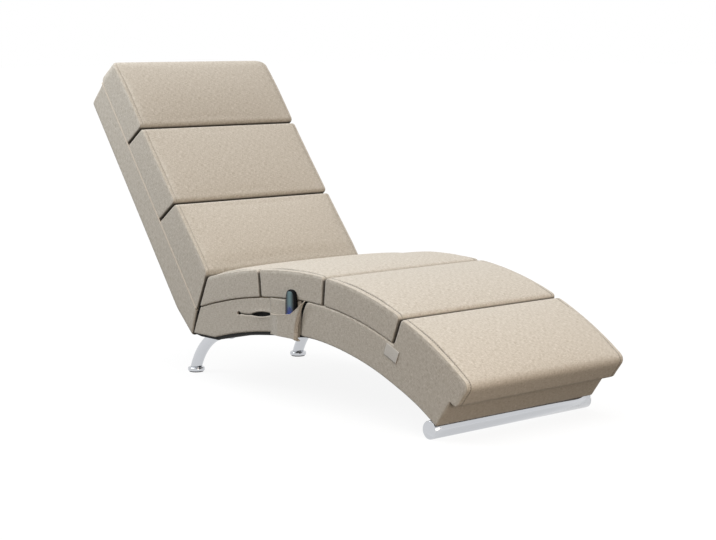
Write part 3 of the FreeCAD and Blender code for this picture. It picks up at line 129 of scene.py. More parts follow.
class LoungerColours(bpy.types.PropertyGroup):
    linen: colour("Linen", "Main colour of the woven cover", "#C5BEB2")
    linen_dark: colour("Linen shade", "Darker yarns of the cover", "#B0A698")
    linen_light: colour("Linen light", "Lighter yarns of the cover", "#D9D2C9")
    thread: colour("Thread", "Sewing thread", "#D6CEC3")
    liner: colour("Liner", "Dust cloth under the base", "#0B0B0B")
    chrome: colour("Chrome", "Plated tube", "#C6C8CC")
    shell: colour("Handset shell", "Moulded plastic of the handset", "#0C0D0F")
    face: colour("Handset face", "Glossy upper face of the handset", "#50666B")
    face_low: colour("Handset lower face", "Glossy lower face of the handset", "#1C2F6E")
    tab: colour("Tab", "Blank woven tab", "#DAD6D0")
    wood: colour("Plywood", "Boards and rails inside the base", "#C7A777")


# Places on the lounger. Each takes arrays and gives X and Z.

def wave(s, h):
    """Seat and leg surface: s runs along the seam from the crest, h is height above the seam.

    The seam is two arcs that meet level at the crest, so X = crest + (R + h) sin(s / R) and
    Z = centre + (R + h) cos(s / R), with R the arc's radius on that side.
    """
    radius = np.where(s < 0, SEAT_R, LEG_R)
    return ARCH_X + (radius + h) * np.sin(s / radius), SEAM_Z - radius + (radius + h) * np.cos(s / radius)


def run_to_circle(angle, start_z, centre_z, radius):
    """Distance from (crest, start_z), leaning forward by angle, to a circle round (crest, centre_z)."""
    along = (start_z - centre_z) * np.cos(angle)
    return np.sqrt(along ** 2 - (start_z - centre_z) ** 2 + radius ** 2) - along


def under(s):
    """Height of the base's underside below the seam, at s: the arch underside or the flat floor."""
    s = np.asarray(s, float)
    leg = run_to_circle(s / LEG_R, SEAM_Z - LEG_R, ARCH_UNDER - LEG_UNDER_R, LEG_UNDER_R) - LEG_R
    seat = run_to_circle(s / SEAT_R, SEAM_Z - SEAT_R, ARCH_UNDER - SEAT_UNDER_R, SEAT_UNDER_R) - SEAT_R
    floor = (SEAT_FLOOR - SEAM_Z + SEAT_R) / np.cos(s / SEAT_R) - SEAT_R
    return np.where(s < 0, np.maximum(seat, floor), leg)


def hip_s(h):
    """Where the seat's rear end, cut along the hip slit, crosses height h above the seam."""
    x, z = HIP_X + HIP_GAP / 2 / math.cos(HIP_LEAN) - ARCH_X, HIP_Z - SEAM_Z + SEAT_R
    along = x * math.sin(HIP_LEAN) + z * math.cos(HIP_LEAN)
    run = np.sqrt(along ** 2 - x * x - z * z + (SEAT_R + h) ** 2) - along
    return np.arctan2(x + run * math.sin(HIP_LEAN), z + run * math.cos(HIP_LEAN)) * SEAT_R


def back(up, out):
    """Point up the back and out from the line between its base and its cushions."""
    x = BACK_X - up * math.sin(BACK_LEAN) + out * math.cos(BACK_LEAN)
    return x, BACK_Z + up * math.cos(BACK_LEAN) + out * math.sin(BACK_LEAN)


def hip_up(out):
    """How far up the back its lower end lies, at a depth; the end follows the hip slit."""
    turn = BACK_LEAN + HIP_LEAN
    shift = (BACK_X - HIP_X) * math.cos(HIP_LEAN) - (BACK_Z - HIP_Z) * math.sin(HIP_LEAN)
    return (shift + HIP_GAP / 2 + out * math.cos(turn)) / math.sin(turn)


# Meshes from arrays

def linked(name, data):
    """An object in the scene with the data given."""
    made = bpy.data.objects.new(name, data)
    bpy.context.scene.collection.objects.link(made)
    return made


def make_mesh(name, points, faces, uv=None):
    """Object from an array of points and an array of quads, with doubled points merged.

    Points that fall together are joined, and a quad that loses a corner becomes a triangle. uv gives
    one pair for each corner of each quad.
    """
    _, first, merged = np.unique(np.round(points, 7), axis=0, return_index=True, return_inverse=True)
    order = np.argsort(first)
    rank = np.empty(len(order), int)
    rank[order] = np.arange(len(order))
    merged = rank[merged.reshape(-1)]
    quads = merged[faces]
    keep = quads != np.roll(quads, 1, axis=1)
    whole = keep.sum(1) >= 3
    quads, keep = quads[whole], keep[whole]
    polygons = [q[k].tolist() for q, k in zip(quads, keep)]
    mesh = bpy.data.meshes.new(name)
    mesh.from_pydata(points[np.sort(first)].tolist(), [], polygons)
    if uv is not None:
        corners = uv[whole][keep]
        layer = mesh.uv_layers.new(name="weave")
        layer.data.foreach_set("uv", corners.reshape(-1).astype(np.float32))
    mesh.polygons.foreach_set("use_smooth", np.ones(len(mesh.polygons), bool))
    mesh.update()
    return linked(name, mesh), merged


def grid_faces(rows, columns, wrap=False):
    """Quads of a rows x columns grid of points; wrap joins the last column to the first."""
    last = columns if wrap else columns - 1
    j, k = np.meshgrid(np.arange(rows - 1), np.arange(last), indexing="ij")
    k1 = (k + 1) % columns
    quads = np.stack([j * columns + k, j * columns + k1, (j + 1) * columns + k1, (j + 1) * columns + k], -1)
    return quads.reshape(-1, 4)


def outward(points, faces):
    """The quads, turned over if they enclose a negative volume."""
    a, b, c, d = (points[faces[:, i]] for i in range(4))
    volume = np.einsum("ij,ij->", a, np.cross(b, c)) + np.einsum("ij,ij->", a, np.cross(c, d))
    return faces if volume > 0 else faces[:, ::-1]


def rounded_loop(long, high, radii, step):
    """Closed outline of a rectangle with four rounded corners, in metres.

    Straight runs and quarter circles are sampled at about step. Gives the points, their outward
    normals and the part each belongs to: 0 base, 1 foot end, 2 top, 3 head end. radii are those of
    the corners between base and foot end, foot end and top, top and head end, head end and base.
    """
    corners = [(long, 0), (long, high), (0, high), (0, 0)]
    points, normals, parts = [], [], []
    for i, (cx, cy) in enumerate(corners):
        before, radius = radii[i - 1], radii[i]
        span = (long if i % 2 == 0 else high) - before - radius
        out = np.array([(0, -1), (1, 0), (0, 1), (-1, 0)][i], float)
        along = np.array([-out[1], out[0]])
        end = np.array([cx, cy]) - along * radius
        count = max(2, round(span / step))
        t = np.arange(count) / count
        points.append(end - along * (span * (1 - t))[:, None])
        normals.append(np.repeat(out[None], count, 0))
        parts.append(np.full(count, i))
        count = max(3, round(radius * math.pi / 2 / step))
        turn = np.arange(count) / count * math.pi / 2
        arc = out * np.cos(turn)[:, None] + along * np.sin(turn)[:, None]
        points.append(end - out * radius + arc * radius)
        normals.append(arc)
        parts.append(np.where(turn < math.pi / 4, i, (i + 1) % 4))
    return np.concatenate(points), np.concatenate(normals), np.concatenate(parts)


def spread(grid, passes):
    """A grid of values, closed across its columns, each averaged with its neighbours several times over."""
    for _ in range(passes):
        rows = np.pad(grid, ((1, 1), (0, 0)), mode="edge")
        grid = (np.roll(grid, 1, 1) + np.roll(grid, -1, 1) + rows[:-2] + rows[2:] + 4 * grid) / 8
    return grid


def soften(values, passes):
    """A closed row of values, each averaged with its neighbours several times over."""
    for _ in range(passes):
        values = (np.roll(values, 1) + 2 * values + np.roll(values, -1)) / 4
    return values


def middle_line(loop, long, high):
    """The points of an outline moved onto the line along the middle of its rectangle."""
    return np.stack([np.clip(loop[:, 0], high / 2, long - high / 2), np.full(len(loop), high / 2)], 1)


def stacked_block(loop, normals, radii, centre, half, widths, caps=6):
    """Closed block: an outline carried across from -half to +half, with rounded rims and flat ends.

    In a rim the outline moves in by r (1 - cos f) while it goes out by r sin f, for f from 0 to 90
    degrees; in an end it shrinks to its middle line. widths are places across, from -1 to 1.
    Gives the outline's two coordinates and the place across as grids, and each ring's kind:
    0 end, 1 rim, 2 between the rims.
    """
    turn = np.radians([90, 66, 45, 24])
    rings, kinds = [], []
    for share in np.linspace(1, 0, caps, endpoint=False):
        flat = (loop - normals * radii[:, None]) * (1 - share) + centre * share
        rings.append((flat, np.full(len(loop), half)))
        kinds.append(0)
    for f in turn:
        inward = (radii * (1 - math.cos(f)))[:, None]
        rings.append((loop - normals * inward, half - radii * (1 - math.sin(f))))
        kinds.append(1)
    first = [(flat, -across) for flat, across in rings]
    middle = [(loop, w * (half - radii)) for w in widths]
    every = first + middle + rings[::-1]
    kinds = np.array(kinds + [2] * len(middle) + kinds[::-1])
    flat = np.stack([ring[0] for ring in every])
    return flat[..., 0], flat[..., 1], np.stack([ring[1] for ring in every]), kinds


def block_uv(a, b, across, kinds, faces, columns):
    """Weave coordinates in metres: round the outline and across, or flat on the two ends."""
    ring = np.stack([a, b], -1)[len(a) // 2]
    step = np.linalg.norm(np.roll(ring, -1, 0) - ring, axis=1)
    round_it = np.concatenate([[0], np.cumsum(step)])
    row, column = faces // columns, faces % columns
    last = column.max(1, keepdims=True)
    seam = (column == 0) & (last == columns - 1) & (column.min(1, keepdims=True) == 0)
    wrapped = np.stack([round_it[np.where(seam, columns, column)], across[row, column]], -1)
    flat = np.stack([a[row, column], b[row, column] + 0.7], -1)
    end = (kinds[row] == 0).any(1)
    return np.where(end[:, None, None], flat, wrapped)


def tube_mesh(name, path, radius, sides=8):
    """Round cord along a path: a circle carried along it, square to its direction, with closed ends."""
    path = np.asarray(path, float)
    along = np.gradient(path, axis=0)
    along /= np.linalg.norm(along, axis=1, keepdims=True)
    side = np.cross(along, [0.0, 1.0, 0.0])
    small = np.linalg.norm(side, axis=1, keepdims=True) < 1e-6
    side = np.where(small, [1.0, 0.0, 0.0], side)
    side /= np.linalg.norm(side, axis=1, keepdims=True)
    other = np.cross(along, side)
    turn = np.arange(sides) / sides * 2 * math.pi
    ring = np.cos(turn)[None, :, None] * side[:, None] + np.sin(turn)[None, :, None] * other[:, None]
    rings = path[:, None] + ring * radius
    rings = np.concatenate([np.repeat(path[:1, None], sides, 1), rings, np.repeat(path[-1:, None], sides, 1)])
    points = rings.reshape(-1, 3)
    faces = outward(points, grid_faces(len(rings), sides, wrap=True))
    return make_mesh(name, points, faces)[0]


def stitches(path, normal, pitch, size, radius):
    """Points and quads of a row of stitches: short pointed bars laid along a path, pitch apart."""
    step = np.linalg.norm(np.diff(path, axis=0), axis=1)
    place = np.concatenate([[0], np.cumsum(step)])
    spots = np.arange(pitch / 2, place[-1] - pitch / 2, pitch)
    at = np.stack([np.interp(spots, place, path[:, i]) for i in range(3)], 1)
    up = np.stack([np.interp(spots, place, normal[:, i]) for i in range(3)], 1)
    up /= np.linalg.norm(up, axis=1, keepdims=True)
    slope = np.gradient(path, place, axis=0)
    along = np.stack([np.interp(spots, place, slope[:, i]) for i in range(3)], 1)
    along /= np.linalg.norm(along, axis=1, keepdims=True)
    side = np.cross(along, up)
    reach = np.array([-1, -0.75, 0, 0.75, 1]) * size / 2
    thick = np.array([0.15, 0.8, 1, 0.8, 0.15]) * radius
    turn = np.arange(6) / 6 * 2 * math.pi
    ring = (np.cos(turn)[None, None, :, None] * side[:, None, None]
            + np.sin(turn)[None, None, :, None] * up[:, None, None])
    bar = along[:, None, None] * reach[None, :, None, None]
    points = at[:, None, None] + bar + ring * thick[None, :, None, None]
    one = grid_faces(5, 6, wrap=True)
    faces = one[None] + (np.arange(len(spots)) * 30)[:, None, None]
    return points.reshape(-1, 3), faces.reshape(-1, 4)


def join_arrays(rows):
    """Several sets of points and quads as one."""
    points = np.concatenate([p for p, _ in rows])
    starts = np.cumsum([0] + [len(p) for p, _ in rows[:-1]])
    return points, np.concatenate([f + start for (_, f), start in zip(rows, starts)])


def finish_piece(piece, body, material, replaced=()):
    """Rides a piece on its body and finish, and hides the solids it stands for."""
    piece.data.materials.clear()
    piece.data.materials.append(material)
    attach(piece, body)
    if replaced:
        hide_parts(*replaced)
    return piece


def subdivide(piece):
    modifier = piece.modifiers.new("fine", "SUBSURF")
    modifier.levels = modifier.render_levels = 1


def thicken(piece, name, thickness, offset=0):
    modifier = piece.modifiers.new(name, "SOLIDIFY")
    modifier.thickness, modifier.offset = thickness, offset


def mark_painted_shade(piece, merged, dark):
    """Stores the painted shade at each point, as the attribute "seam": how much the weave's colour is darkened
    where shade falls.
    """
    seam = np.zeros(len(piece.data.vertices))
    seam[merged] = dark.reshape(-1)
    piece.data.attributes.new("seam", "FLOAT", "POINT").data.foreach_set("value", seam)


def vertex_normals(mesh):
    normals = np.empty(len(mesh.vertices) * 3)
    mesh.vertex_normals.foreach_get("vector", normals)
    return normals.reshape(-1, 3)


def vertex_places(mesh):
    places = np.empty(len(mesh.vertices) * 3)
    mesh.vertices.foreach_get("co", places)
    return places.reshape(-1, 3)


def move_vertices(mesh, places):
    mesh.vertices.foreach_set("co", places.reshape(-1))
    mesh.update()


# Materials

def add(tree, kind, inputs=None, **settings):
    """A node with its settings; inputs holds values, or sockets to link, by name or number."""
    item = tree.nodes.new(kind)
    for key, value in settings.items():
        setattr(item, key, value)
    put(tree, item, inputs or {})
    return item


def put(tree, item, inputs):
    """Sets a node's inputs, or links them where the value is a socket."""
    for key, value in inputs.items():
        if isinstance(value, bpy.types.NodeSocket):
            tree.links.new(value, item.inputs[key])
        else:
            item.inputs[key].default_value = value


def maths(tree, operation, *values):
    """Result of a math node on values or sockets."""
    return add(tree, "ShaderNodeMath", dict(enumerate(values)), operation=operation).outputs[0]


def material(name):
    """Empty node material with its shader: gives the material, its tree and the shader node."""
    made = bpy.data.materials.new(name)
    made.use_nodes = True
    tree = made.node_tree
    tree.nodes.clear()
    shader = add(tree, "ShaderNodeBsdfPrincipled")
    add(tree, "ShaderNodeOutputMaterial", {"Surface": shader.outputs[0]})
    return made, tree, shader


def ramp(tree, factor, stops):
    """Colour ramp through stops of (place, RGBA)."""
    item = add(tree, "ShaderNodeValToRGB", {"Fac": factor})
    while len(item.color_ramp.elements) < len(stops):
        item.color_ramp.elements.new(0.5)
    for element, (place, value) in zip(item.color_ramp.elements, stops):
        element.position = place
        element.color = value
    return item.outputs["Color"]


def linen_weave(name, dark, middle, light):
    """Linen-look polyester, plain woven from slubby yarns: matt, finely flecked, with a soft fuzz.

    Yarns lie 1.1 mm apart. They are drawn 2.2 mm apart, because finer ones don't show in the render.
    Slubs, the thick places of a yarn, are 12 mm long and 1.3 mm wide, along both sets of yarns.
    The attribute "seam" carries painted shade: it darkens the cloth's colour in slits and along rows of
    stitches, where shade falls.
    """
    made, tree, shader = material(name)
    uv = add(tree, "ShaderNodeUVMap", uv_map="weave").outputs["UV"]
    slubs = []
    for scale in ((1 / 0.012, 1 / 0.0013, 1), (1 / 0.0013, 1 / 0.012, 1)):
        drawn = add(tree, "ShaderNodeMapping", {"Vector": uv, "Scale": scale}).outputs[0]
        slubs.append(add(tree, "ShaderNodeTexNoise", {"Vector": drawn, "Scale": 1.0, "Detail": 1.5,
                                                      "Roughness": 0.6}).outputs["Fac"])
    both = maths(tree, "ADD", *slubs)
    fleck = maths(tree, "MULTIPLY", both, 0.5)
    cloth = ramp(tree, fleck, [(0.36, dark), (0.50, middle), (0.64, light)])
    # painted shade: the "seam" attribute scales the colour down to 0.22 in slits and along stitch rows
    seam = add(tree, "ShaderNodeAttribute", attribute_name="seam").outputs["Fac"]
    shade = add(tree, "ShaderNodeMapRange", {0: seam, 3: 1.0, 4: 0.22}).outputs[0]
    painted_light_colour = add(tree, "ShaderNodeVectorMath", {0: cloth, "Scale": shade}, operation="SCALE").outputs[0]
    yarns = []
    for direction in ("X", "Y"):
        yarns.append(add(tree, "ShaderNodeTexWave", {"Vector": uv, "Scale": 1 / 0.0022 / 6.2832 * 2.0,
                                                     "Distortion": 1.2, "Detail": 1.0, "Detail Scale": 1.0},
                         wave_type="BANDS", bands_direction=direction).outputs["Fac"])
    height = maths(tree, "MULTIPLY_ADD", both, 0.6, maths(tree, "MULTIPLY", *yarns))
    bump = add(tree, "ShaderNodeBump", {"Height": height, "Strength": 0.22, "Distance": 0.0005}).outputs[0]
    put(tree, shader, {"Base Color": painted_light_colour, "Normal": bump,
                       "Roughness": maths(tree, "MULTIPLY_ADD", both, -0.08, 0.98),
                       "Specular IOR Level": 0.2, "Sheen Weight": 0.08, "Sheen Roughness": 0.6})
    return made


def speckled(name, base, other, grain, roughness, **sockets):
    """A finish with two close colours mottled at a grain size in metres, and a fine matching bump."""
    made, tree, shader = material(name)
    place = add(tree, "ShaderNodeTexCoord").outputs["Object"]
    noise = {"Vector": place, "Scale": 1 / grain, "Detail": 3.0}
    fleck = add(tree, "ShaderNodeTexNoise", noise).outputs["Fac"]
    bump = add(tree, "ShaderNodeBump", {"Height": fleck, "Strength": 0.15, "Distance": grain / 4}).outputs[0]
    put(tree, shader, {"Base Color": ramp(tree, fleck, [(0.35, base), (0.65, other)]), "Normal": bump,
                       "Roughness": roughness})
    put(tree, shader, {key.replace("_", " "): value for key, value in sockets.items()})
    return made


def plated(name, tint):
    """Chromed steel: mirror bright, with a breath of haze where it was buffed, 4 mm streaks."""
    made, tree, shader = material(name)
    place = add(tree, "ShaderNodeTexCoord").outputs["Object"]
    noise = {"Vector": place, "Scale": 1 / 0.004, "Detail": 2.0}
    haze = add(tree, "ShaderNodeTexNoise", noise).outputs["Fac"]
    put(tree, shader, {"Base Color": tint, "Metallic": 1.0,
                       "Roughness": maths(tree, "MULTIPLY_ADD", haze, 0.05, 0.04)})
    return made


def plywood(name, tint):
    """Birch plywood: pale face grain 3 mm wide, drawn out along the board."""
    made, tree, shader = material(name)
    place = add(tree, "ShaderNodeTexCoord").outputs["Object"]
    scale = (1 / 0.06, 1 / 0.003, 1 / 0.003)
    drawn = add(tree, "ShaderNodeMapping", {"Vector": place, "Scale": scale}).outputs[0]
    grain = add(tree, "ShaderNodeTexNoise", {"Vector": drawn, "Scale": 1.0, "Detail": 4.0}).outputs["Fac"]
    dark = tuple(c * 0.7 for c in tint[:3]) + (1.0,)
    put(tree, shader, {"Base Color": ramp(tree, grain, [(0.3, dark), (0.7, tint)]), "Roughness": 0.75})
    return made


FINISHES = {}


def finishes():
    """The finishes, made once, from the colours in the panel."""
    if FINISHES:
        return FINISHES
    c = bpy.context.scene.lounger_colours
    FINISHES.update({
        "linen": linen_weave("woven_linen_look", tuple(c.linen_dark), tuple(c.linen), tuple(c.linen_light)),
        "thread": speckled("polyester_thread", tuple(c.thread), srgb("#C2B5A3"), 0.0006, 0.7),
        "liner": speckled("non_woven_liner", tuple(c.liner), srgb("#161616"), 0.0015, 0.95),
        "chrome": plated("chrome_plate", tuple(c.chrome)),
        "shell": speckled("moulded_abs", tuple(c.shell), srgb("#131417"), 0.0008, 0.45,
                          Specular_IOR_Level=0.06),
        "tab": speckled("woven_tab", tuple(c.tab), srgb("#C9C5BE"), 0.001, 0.85),
        "wood": plywood("birch_plywood", tuple(c.wood)),
        "steel": speckled("rolled_steel", srgb("#9A9DA1"), srgb("#85888C"), 0.002, 0.35, Metallic=1.0),
        "rubber": speckled("moulded_rubber", srgb("#101010"), srgb("#1A1A1A"), 0.001, 0.8),
        "board": speckled("circuit_board", srgb("#0F4A2A"), srgb("#15583A"), 0.002, 0.5),
        "felt": speckled("heater_felt", srgb("#D8D6CE"), srgb("#C8C5BB"), 0.002, 0.95),
    })
    return FINISHES


# Cushions

def blown_up(piece, pinned, steps):
    """Blows the cover up, as cloth with pressure and no gravity; gives each point's move along its normal."""
    rest, normals = vertex_places(piece.data), vertex_normals(piece.data)
    group = piece.vertex_groups.new(name="pinned")
    group.add(np.flatnonzero(pinned).tolist(), 1.0, "REPLACE")
    cloth = piece.modifiers.new("cloth", "CLOTH")
    settings = cloth.settings
    settings.quality = 4
    settings.mass = 0.3
    settings.tension_stiffness = settings.compression_stiffness = 15
    settings.shear_stiffness = 8
    settings.bending_stiffness = 0.8
    settings.use_pressure = True
    settings.uniform_pressure_force = 4
    settings.vertex_group_mass = "pinned"
    settings.effector_weights.gravity = 0
    cloth.point_cache.frame_start, cloth.point_cache.frame_end = 1, steps
    scene = bpy.context.scene
    for step in range(1, steps + 1):
        scene.frame_set(step)
    shaped = piece.evaluated_get(bpy.context.evaluated_depsgraph_get()).to_mesh()
    moved = vertex_places(shaped)
    piece.to_mesh_clear()
    piece.modifiers.remove(cloth)
    piece.vertex_groups.remove(group)
    scene.frame_set(1)
    return np.einsum("ij,ij->i", moved - rest, normals)


def cushion(name, node, long, high, radii, place, inset, slits=(1, 3), corner=0.0, line=1.0):
    """A cushion as one closed cover: a rounded outline carried across, crowned, then blown up.

    place maps (along, height) to X and Z. The crown adds c (1 - |y / half|^3) (1 - (2 q - 1)^2)
    (h / H)^2 to the height, with q the share of the length. A blown-up point moves out by
    m (1 - exp(-d / m)) (1 - (2 q - 1)^2), with d the cloth's own move, smoothed, and m the most
    allowed. A top stitch is pressed in at inset from each side, and the upper side seam stands up
    as a low ridge. Shade is painted into the colour: along each top stitch, as dark as line says,
    and on the ends and lips that face into a slit. slits are the ends that face another cushion.
    corner rounds the head end as seen from above. Gives the rows of top stitches.
    """
    form = bpy.context.scene.lounger_form
    toe = slits == (3,)
    loop, normals, parts = rounded_loop(long, high, radii, GRID)
    rim = np.choose(parts, [0.0003 if toe else 0.004, 0.006, form.side_round, 0.006])
    if toe:
        rim = np.where(parts == 1, form.side_round, rim)
    rim = soften(rim, 6)
    centre = middle_line(loop, long, high)
    stitched = 1 - (inset - form.side_round) / (WIDE - form.side_round)
    near = 0.0026 / WIDE
    edge = [stitched - 2 * near, stitched - near, stitched, stitched + near]
    middle = np.linspace(0, stitched - 3.5 * near, 38)
    widths = np.concatenate([-np.array(edge)[::-1], -middle[:0:-1], middle, edge])
    a, b, y, kinds = stacked_block(loop, normals, rim, centre, WIDE, widths)
    share = np.clip(a / long, 0, 1)
    rise = form.crown * (1 - np.abs(y / WIDE) ** 3) * (1 - (2 * share - 1) ** 2) * (b / high) ** 2
    x, z = place(a, b + rise)
    y = y * (1 - (corner - np.sqrt(corner ** 2 - (corner - np.clip(a, 0, corner)) ** 2)) / WIDE)
    points = np.stack([x, y, z], -1).reshape(-1, 3)
    faces = outward(points, grid_faces(len(a), len(loop), wrap=True))
    piece, merged = make_mesh(name, points, faces, block_uv(a, b, y, kinds, faces, len(loop)))

    upper = soften(np.isin(parts, [1, 2] if toe else [2]).astype(float), 3)
    lift = np.zeros(a.shape)
    between_rims = np.flatnonzero(kinds == 2)
    lines = between_rims[[np.argmin(np.abs(widths + stitched)), np.argmin(np.abs(widths - stitched))]]
    lift[lines] = -0.0022
    rims = np.flatnonzero(kinds == 1)
    lift[[rims[2], rims[-3]]] = 0.0016
    lift[[rims[1], rims[-2], rims[3], rims[-4]]] = -0.0006
    lift = lift * upper
    # painted shade: darkens the faces inside the slits, the lips beside them, and the top stitch lines as much
    # as line says
    dark = np.zeros(a.shape)
    inside = np.isin(parts, slits) & (loop[:, 1] < high - 0.6 * form.lip)
    dark[kinds == 2] = inside
    dark[rims[[2, 3, -4, -3]]] = 0.8 * inside
    dark[lines] = np.maximum(dark[lines], line * upper)
    pinned = np.zeros(len(piece.data.vertices), bool)
    pinned[merged] = ((parts == 0)[None] & (kinds > 0)[:, None]).reshape(-1)
    puff = spread(blown_up(piece, pinned, form.cloth_frames)[merged].reshape(a.shape), 40)
    free = np.choose(parts, [0.0, 1.0 if toe else 0.25, 1.0, 0.25]) * np.clip(b / high, 0, 1)
    free = spread(np.where((kinds == 0)[:, None], 0.12 * np.clip(b / high, 0, 1), free), 8)
    free = free * (1 - (2 * share - 1) ** 2)
    lift = lift + free * form.swell * (1 - np.exp(-np.clip(puff, 0, None) / form.swell))
    shift = np.zeros(len(piece.data.vertices))
    shift[merged] = lift.reshape(-1)
    outwards = vertex_normals(piece.data)
    places = vertex_places(piece.data) + outwards * shift[:, None]
    mark_painted_shade(piece, merged, dark)
    move_vertices(piece.data, places)
    subdivide(piece)
    finish_piece(piece, "lounger", finishes()["linen"], [node])

    shown = np.flatnonzero(upper > 0.95)
    gaps = np.flatnonzero(np.diff(shown) > 1)
    shown = np.roll(shown, -gaps[0] - 1) if len(gaps) else shown
    rows = []
    for row in lines:
        index = merged.reshape(a.shape)[row, shown]
        path = places[index] + outwards[index] * THREAD
        rows.append(stitches(path, outwards[index], form.stitch_pitch, form.stitch, THREAD))
    return rows


class LOUNGER_OT_cushions(bpy.types.Operator):
    """Seven cushions on the wave and the back, with their top stitching"""
    bl_idname = "lounger.cushions"
    bl_label = "Cushions"

    def execute(self, context):
        form = context.scene.lounger_form
        rows = self.wave_cushions(form) + self.back_cushions(form)
        points, faces = join_arrays(rows)
        thread, _ = make_mesh("top_stitching", points, faces)
        finish_piece(thread, "lounger", finishes()["thread"])
        return {"FINISHED"}

    def wave_cushions(self, form):
        """Four cushions laid along the wave; the rearmost is cut along the hip slit."""
        gap, lip, inset = CUSHION_GAP / 2, form.lip, form.stitch_inset
        rows = []
        for name, node, start, end in (
                ("front_seat_pad", "seat_front_cushion", THIGH_SLIT + gap, CALF_SLIT - gap),
                ("calf_pad", "calf_cushion", CALF_SLIT + gap, FOOT_SLIT - gap),
                ("foot_pad", "foot_cushion", FOOT_SLIT + gap, TOE_END)):
            toe = node == "foot_cushion"
            corners = (0.012, form.toe_round, lip, 0.006) if toe else (0.006, lip, lip, 0.006)
            lift = -0.0008 if toe else SEATED
            rows += cushion(name, node, end - start, PAD, corners,
                            lambda a, b, s=start, h=lift: wave(s + a, b + h), inset, (3,) if toe else (1, 3))
        end = THIGH_SLIT - gap
        long = end - float(hip_s(0.0))

        def rear_place(a, b):
            start = hip_s(b)
            return wave(start + (end - start) * a / long, b + SEATED)

        return rows + cushion("rear_seat_pad", "seat_rear_cushion", long, PAD, (0.006, lip, lip, 0.006),
                              rear_place, inset)

    def back_cushions(self, form):
        """Three cushions up the back; their thickness follows the back's profile."""
        gap, lip, inset = CUSHION_GAP / 2, form.lip, form.back_stitch_inset
        rows = []
        for name, node, low, high in (
                ("middle_back_pad", "back_middle_cushion", LOWER_SLIT + gap, UPPER_SLIT - gap),
                ("top_back_pad", "back_top_cushion", UPPER_SLIT + gap, BACK_TOP)):
            end = node == "back_top_cushion"
            rows += cushion(name, node, high - low, BACK_PAD, (0.006, lip, 0.034 if end else lip, 0.006),
                            lambda a, b, top=high: back(top - a, b + SEATED + self.profile(form, top - a, b)),
                            inset, (1,) if end else (1, 3), form.corner if end else 0.0, 0.4)
        high = LOWER_SLIT - gap
        long = high - float(hip_up(0.0))

        def lower_place(a, b):
            up = high - (high - hip_up(b)) * a / long
            out = b + self.profile(form, up, b)
            return back(high - (high - hip_up(out)) * a / long, out + SEATED)

        return rows + cushion("lower_back_pad", "back_lower_cushion", long, BACK_PAD,
                              (0.006, lip, lip, 0.006), lower_place, inset, line=0.4)

    def profile(self, form, up, b):
        """How far the front stands out.

        It is w ((0.50 - up) / 0.45)^1.5 towards the foot and -f ((up - 0.58) / 0.15)^2 at the top.
        """
        swell = form.lumbar * np.clip((0.50 - up) / 0.45, 0, 1) ** 1.5
        return (swell - form.top_fall * np.clip((up - 0.58) / 0.15, 0, 1.1) ** 2) * b / BACK_PAD


# Base

SLIT_EYE_X, SLIT_NECK_X, SLIT_MIDDLE_X, SLIT_END_X = -0.0889, -0.0387, 0.0088, 0.0605   # cable slit
SLIT_SHARE, SLIT_GAP = 0.52, 0.0060       # its height up the panel, and half its widest gap


def facing_right(points, faces):
    """The quads of a sheet, turned over if the first doesn't face -Y."""
    a, b, _, d = points[faces[0]]
    return faces if np.cross(b - a, d - a)[1] < 0 else faces[:, ::-1]


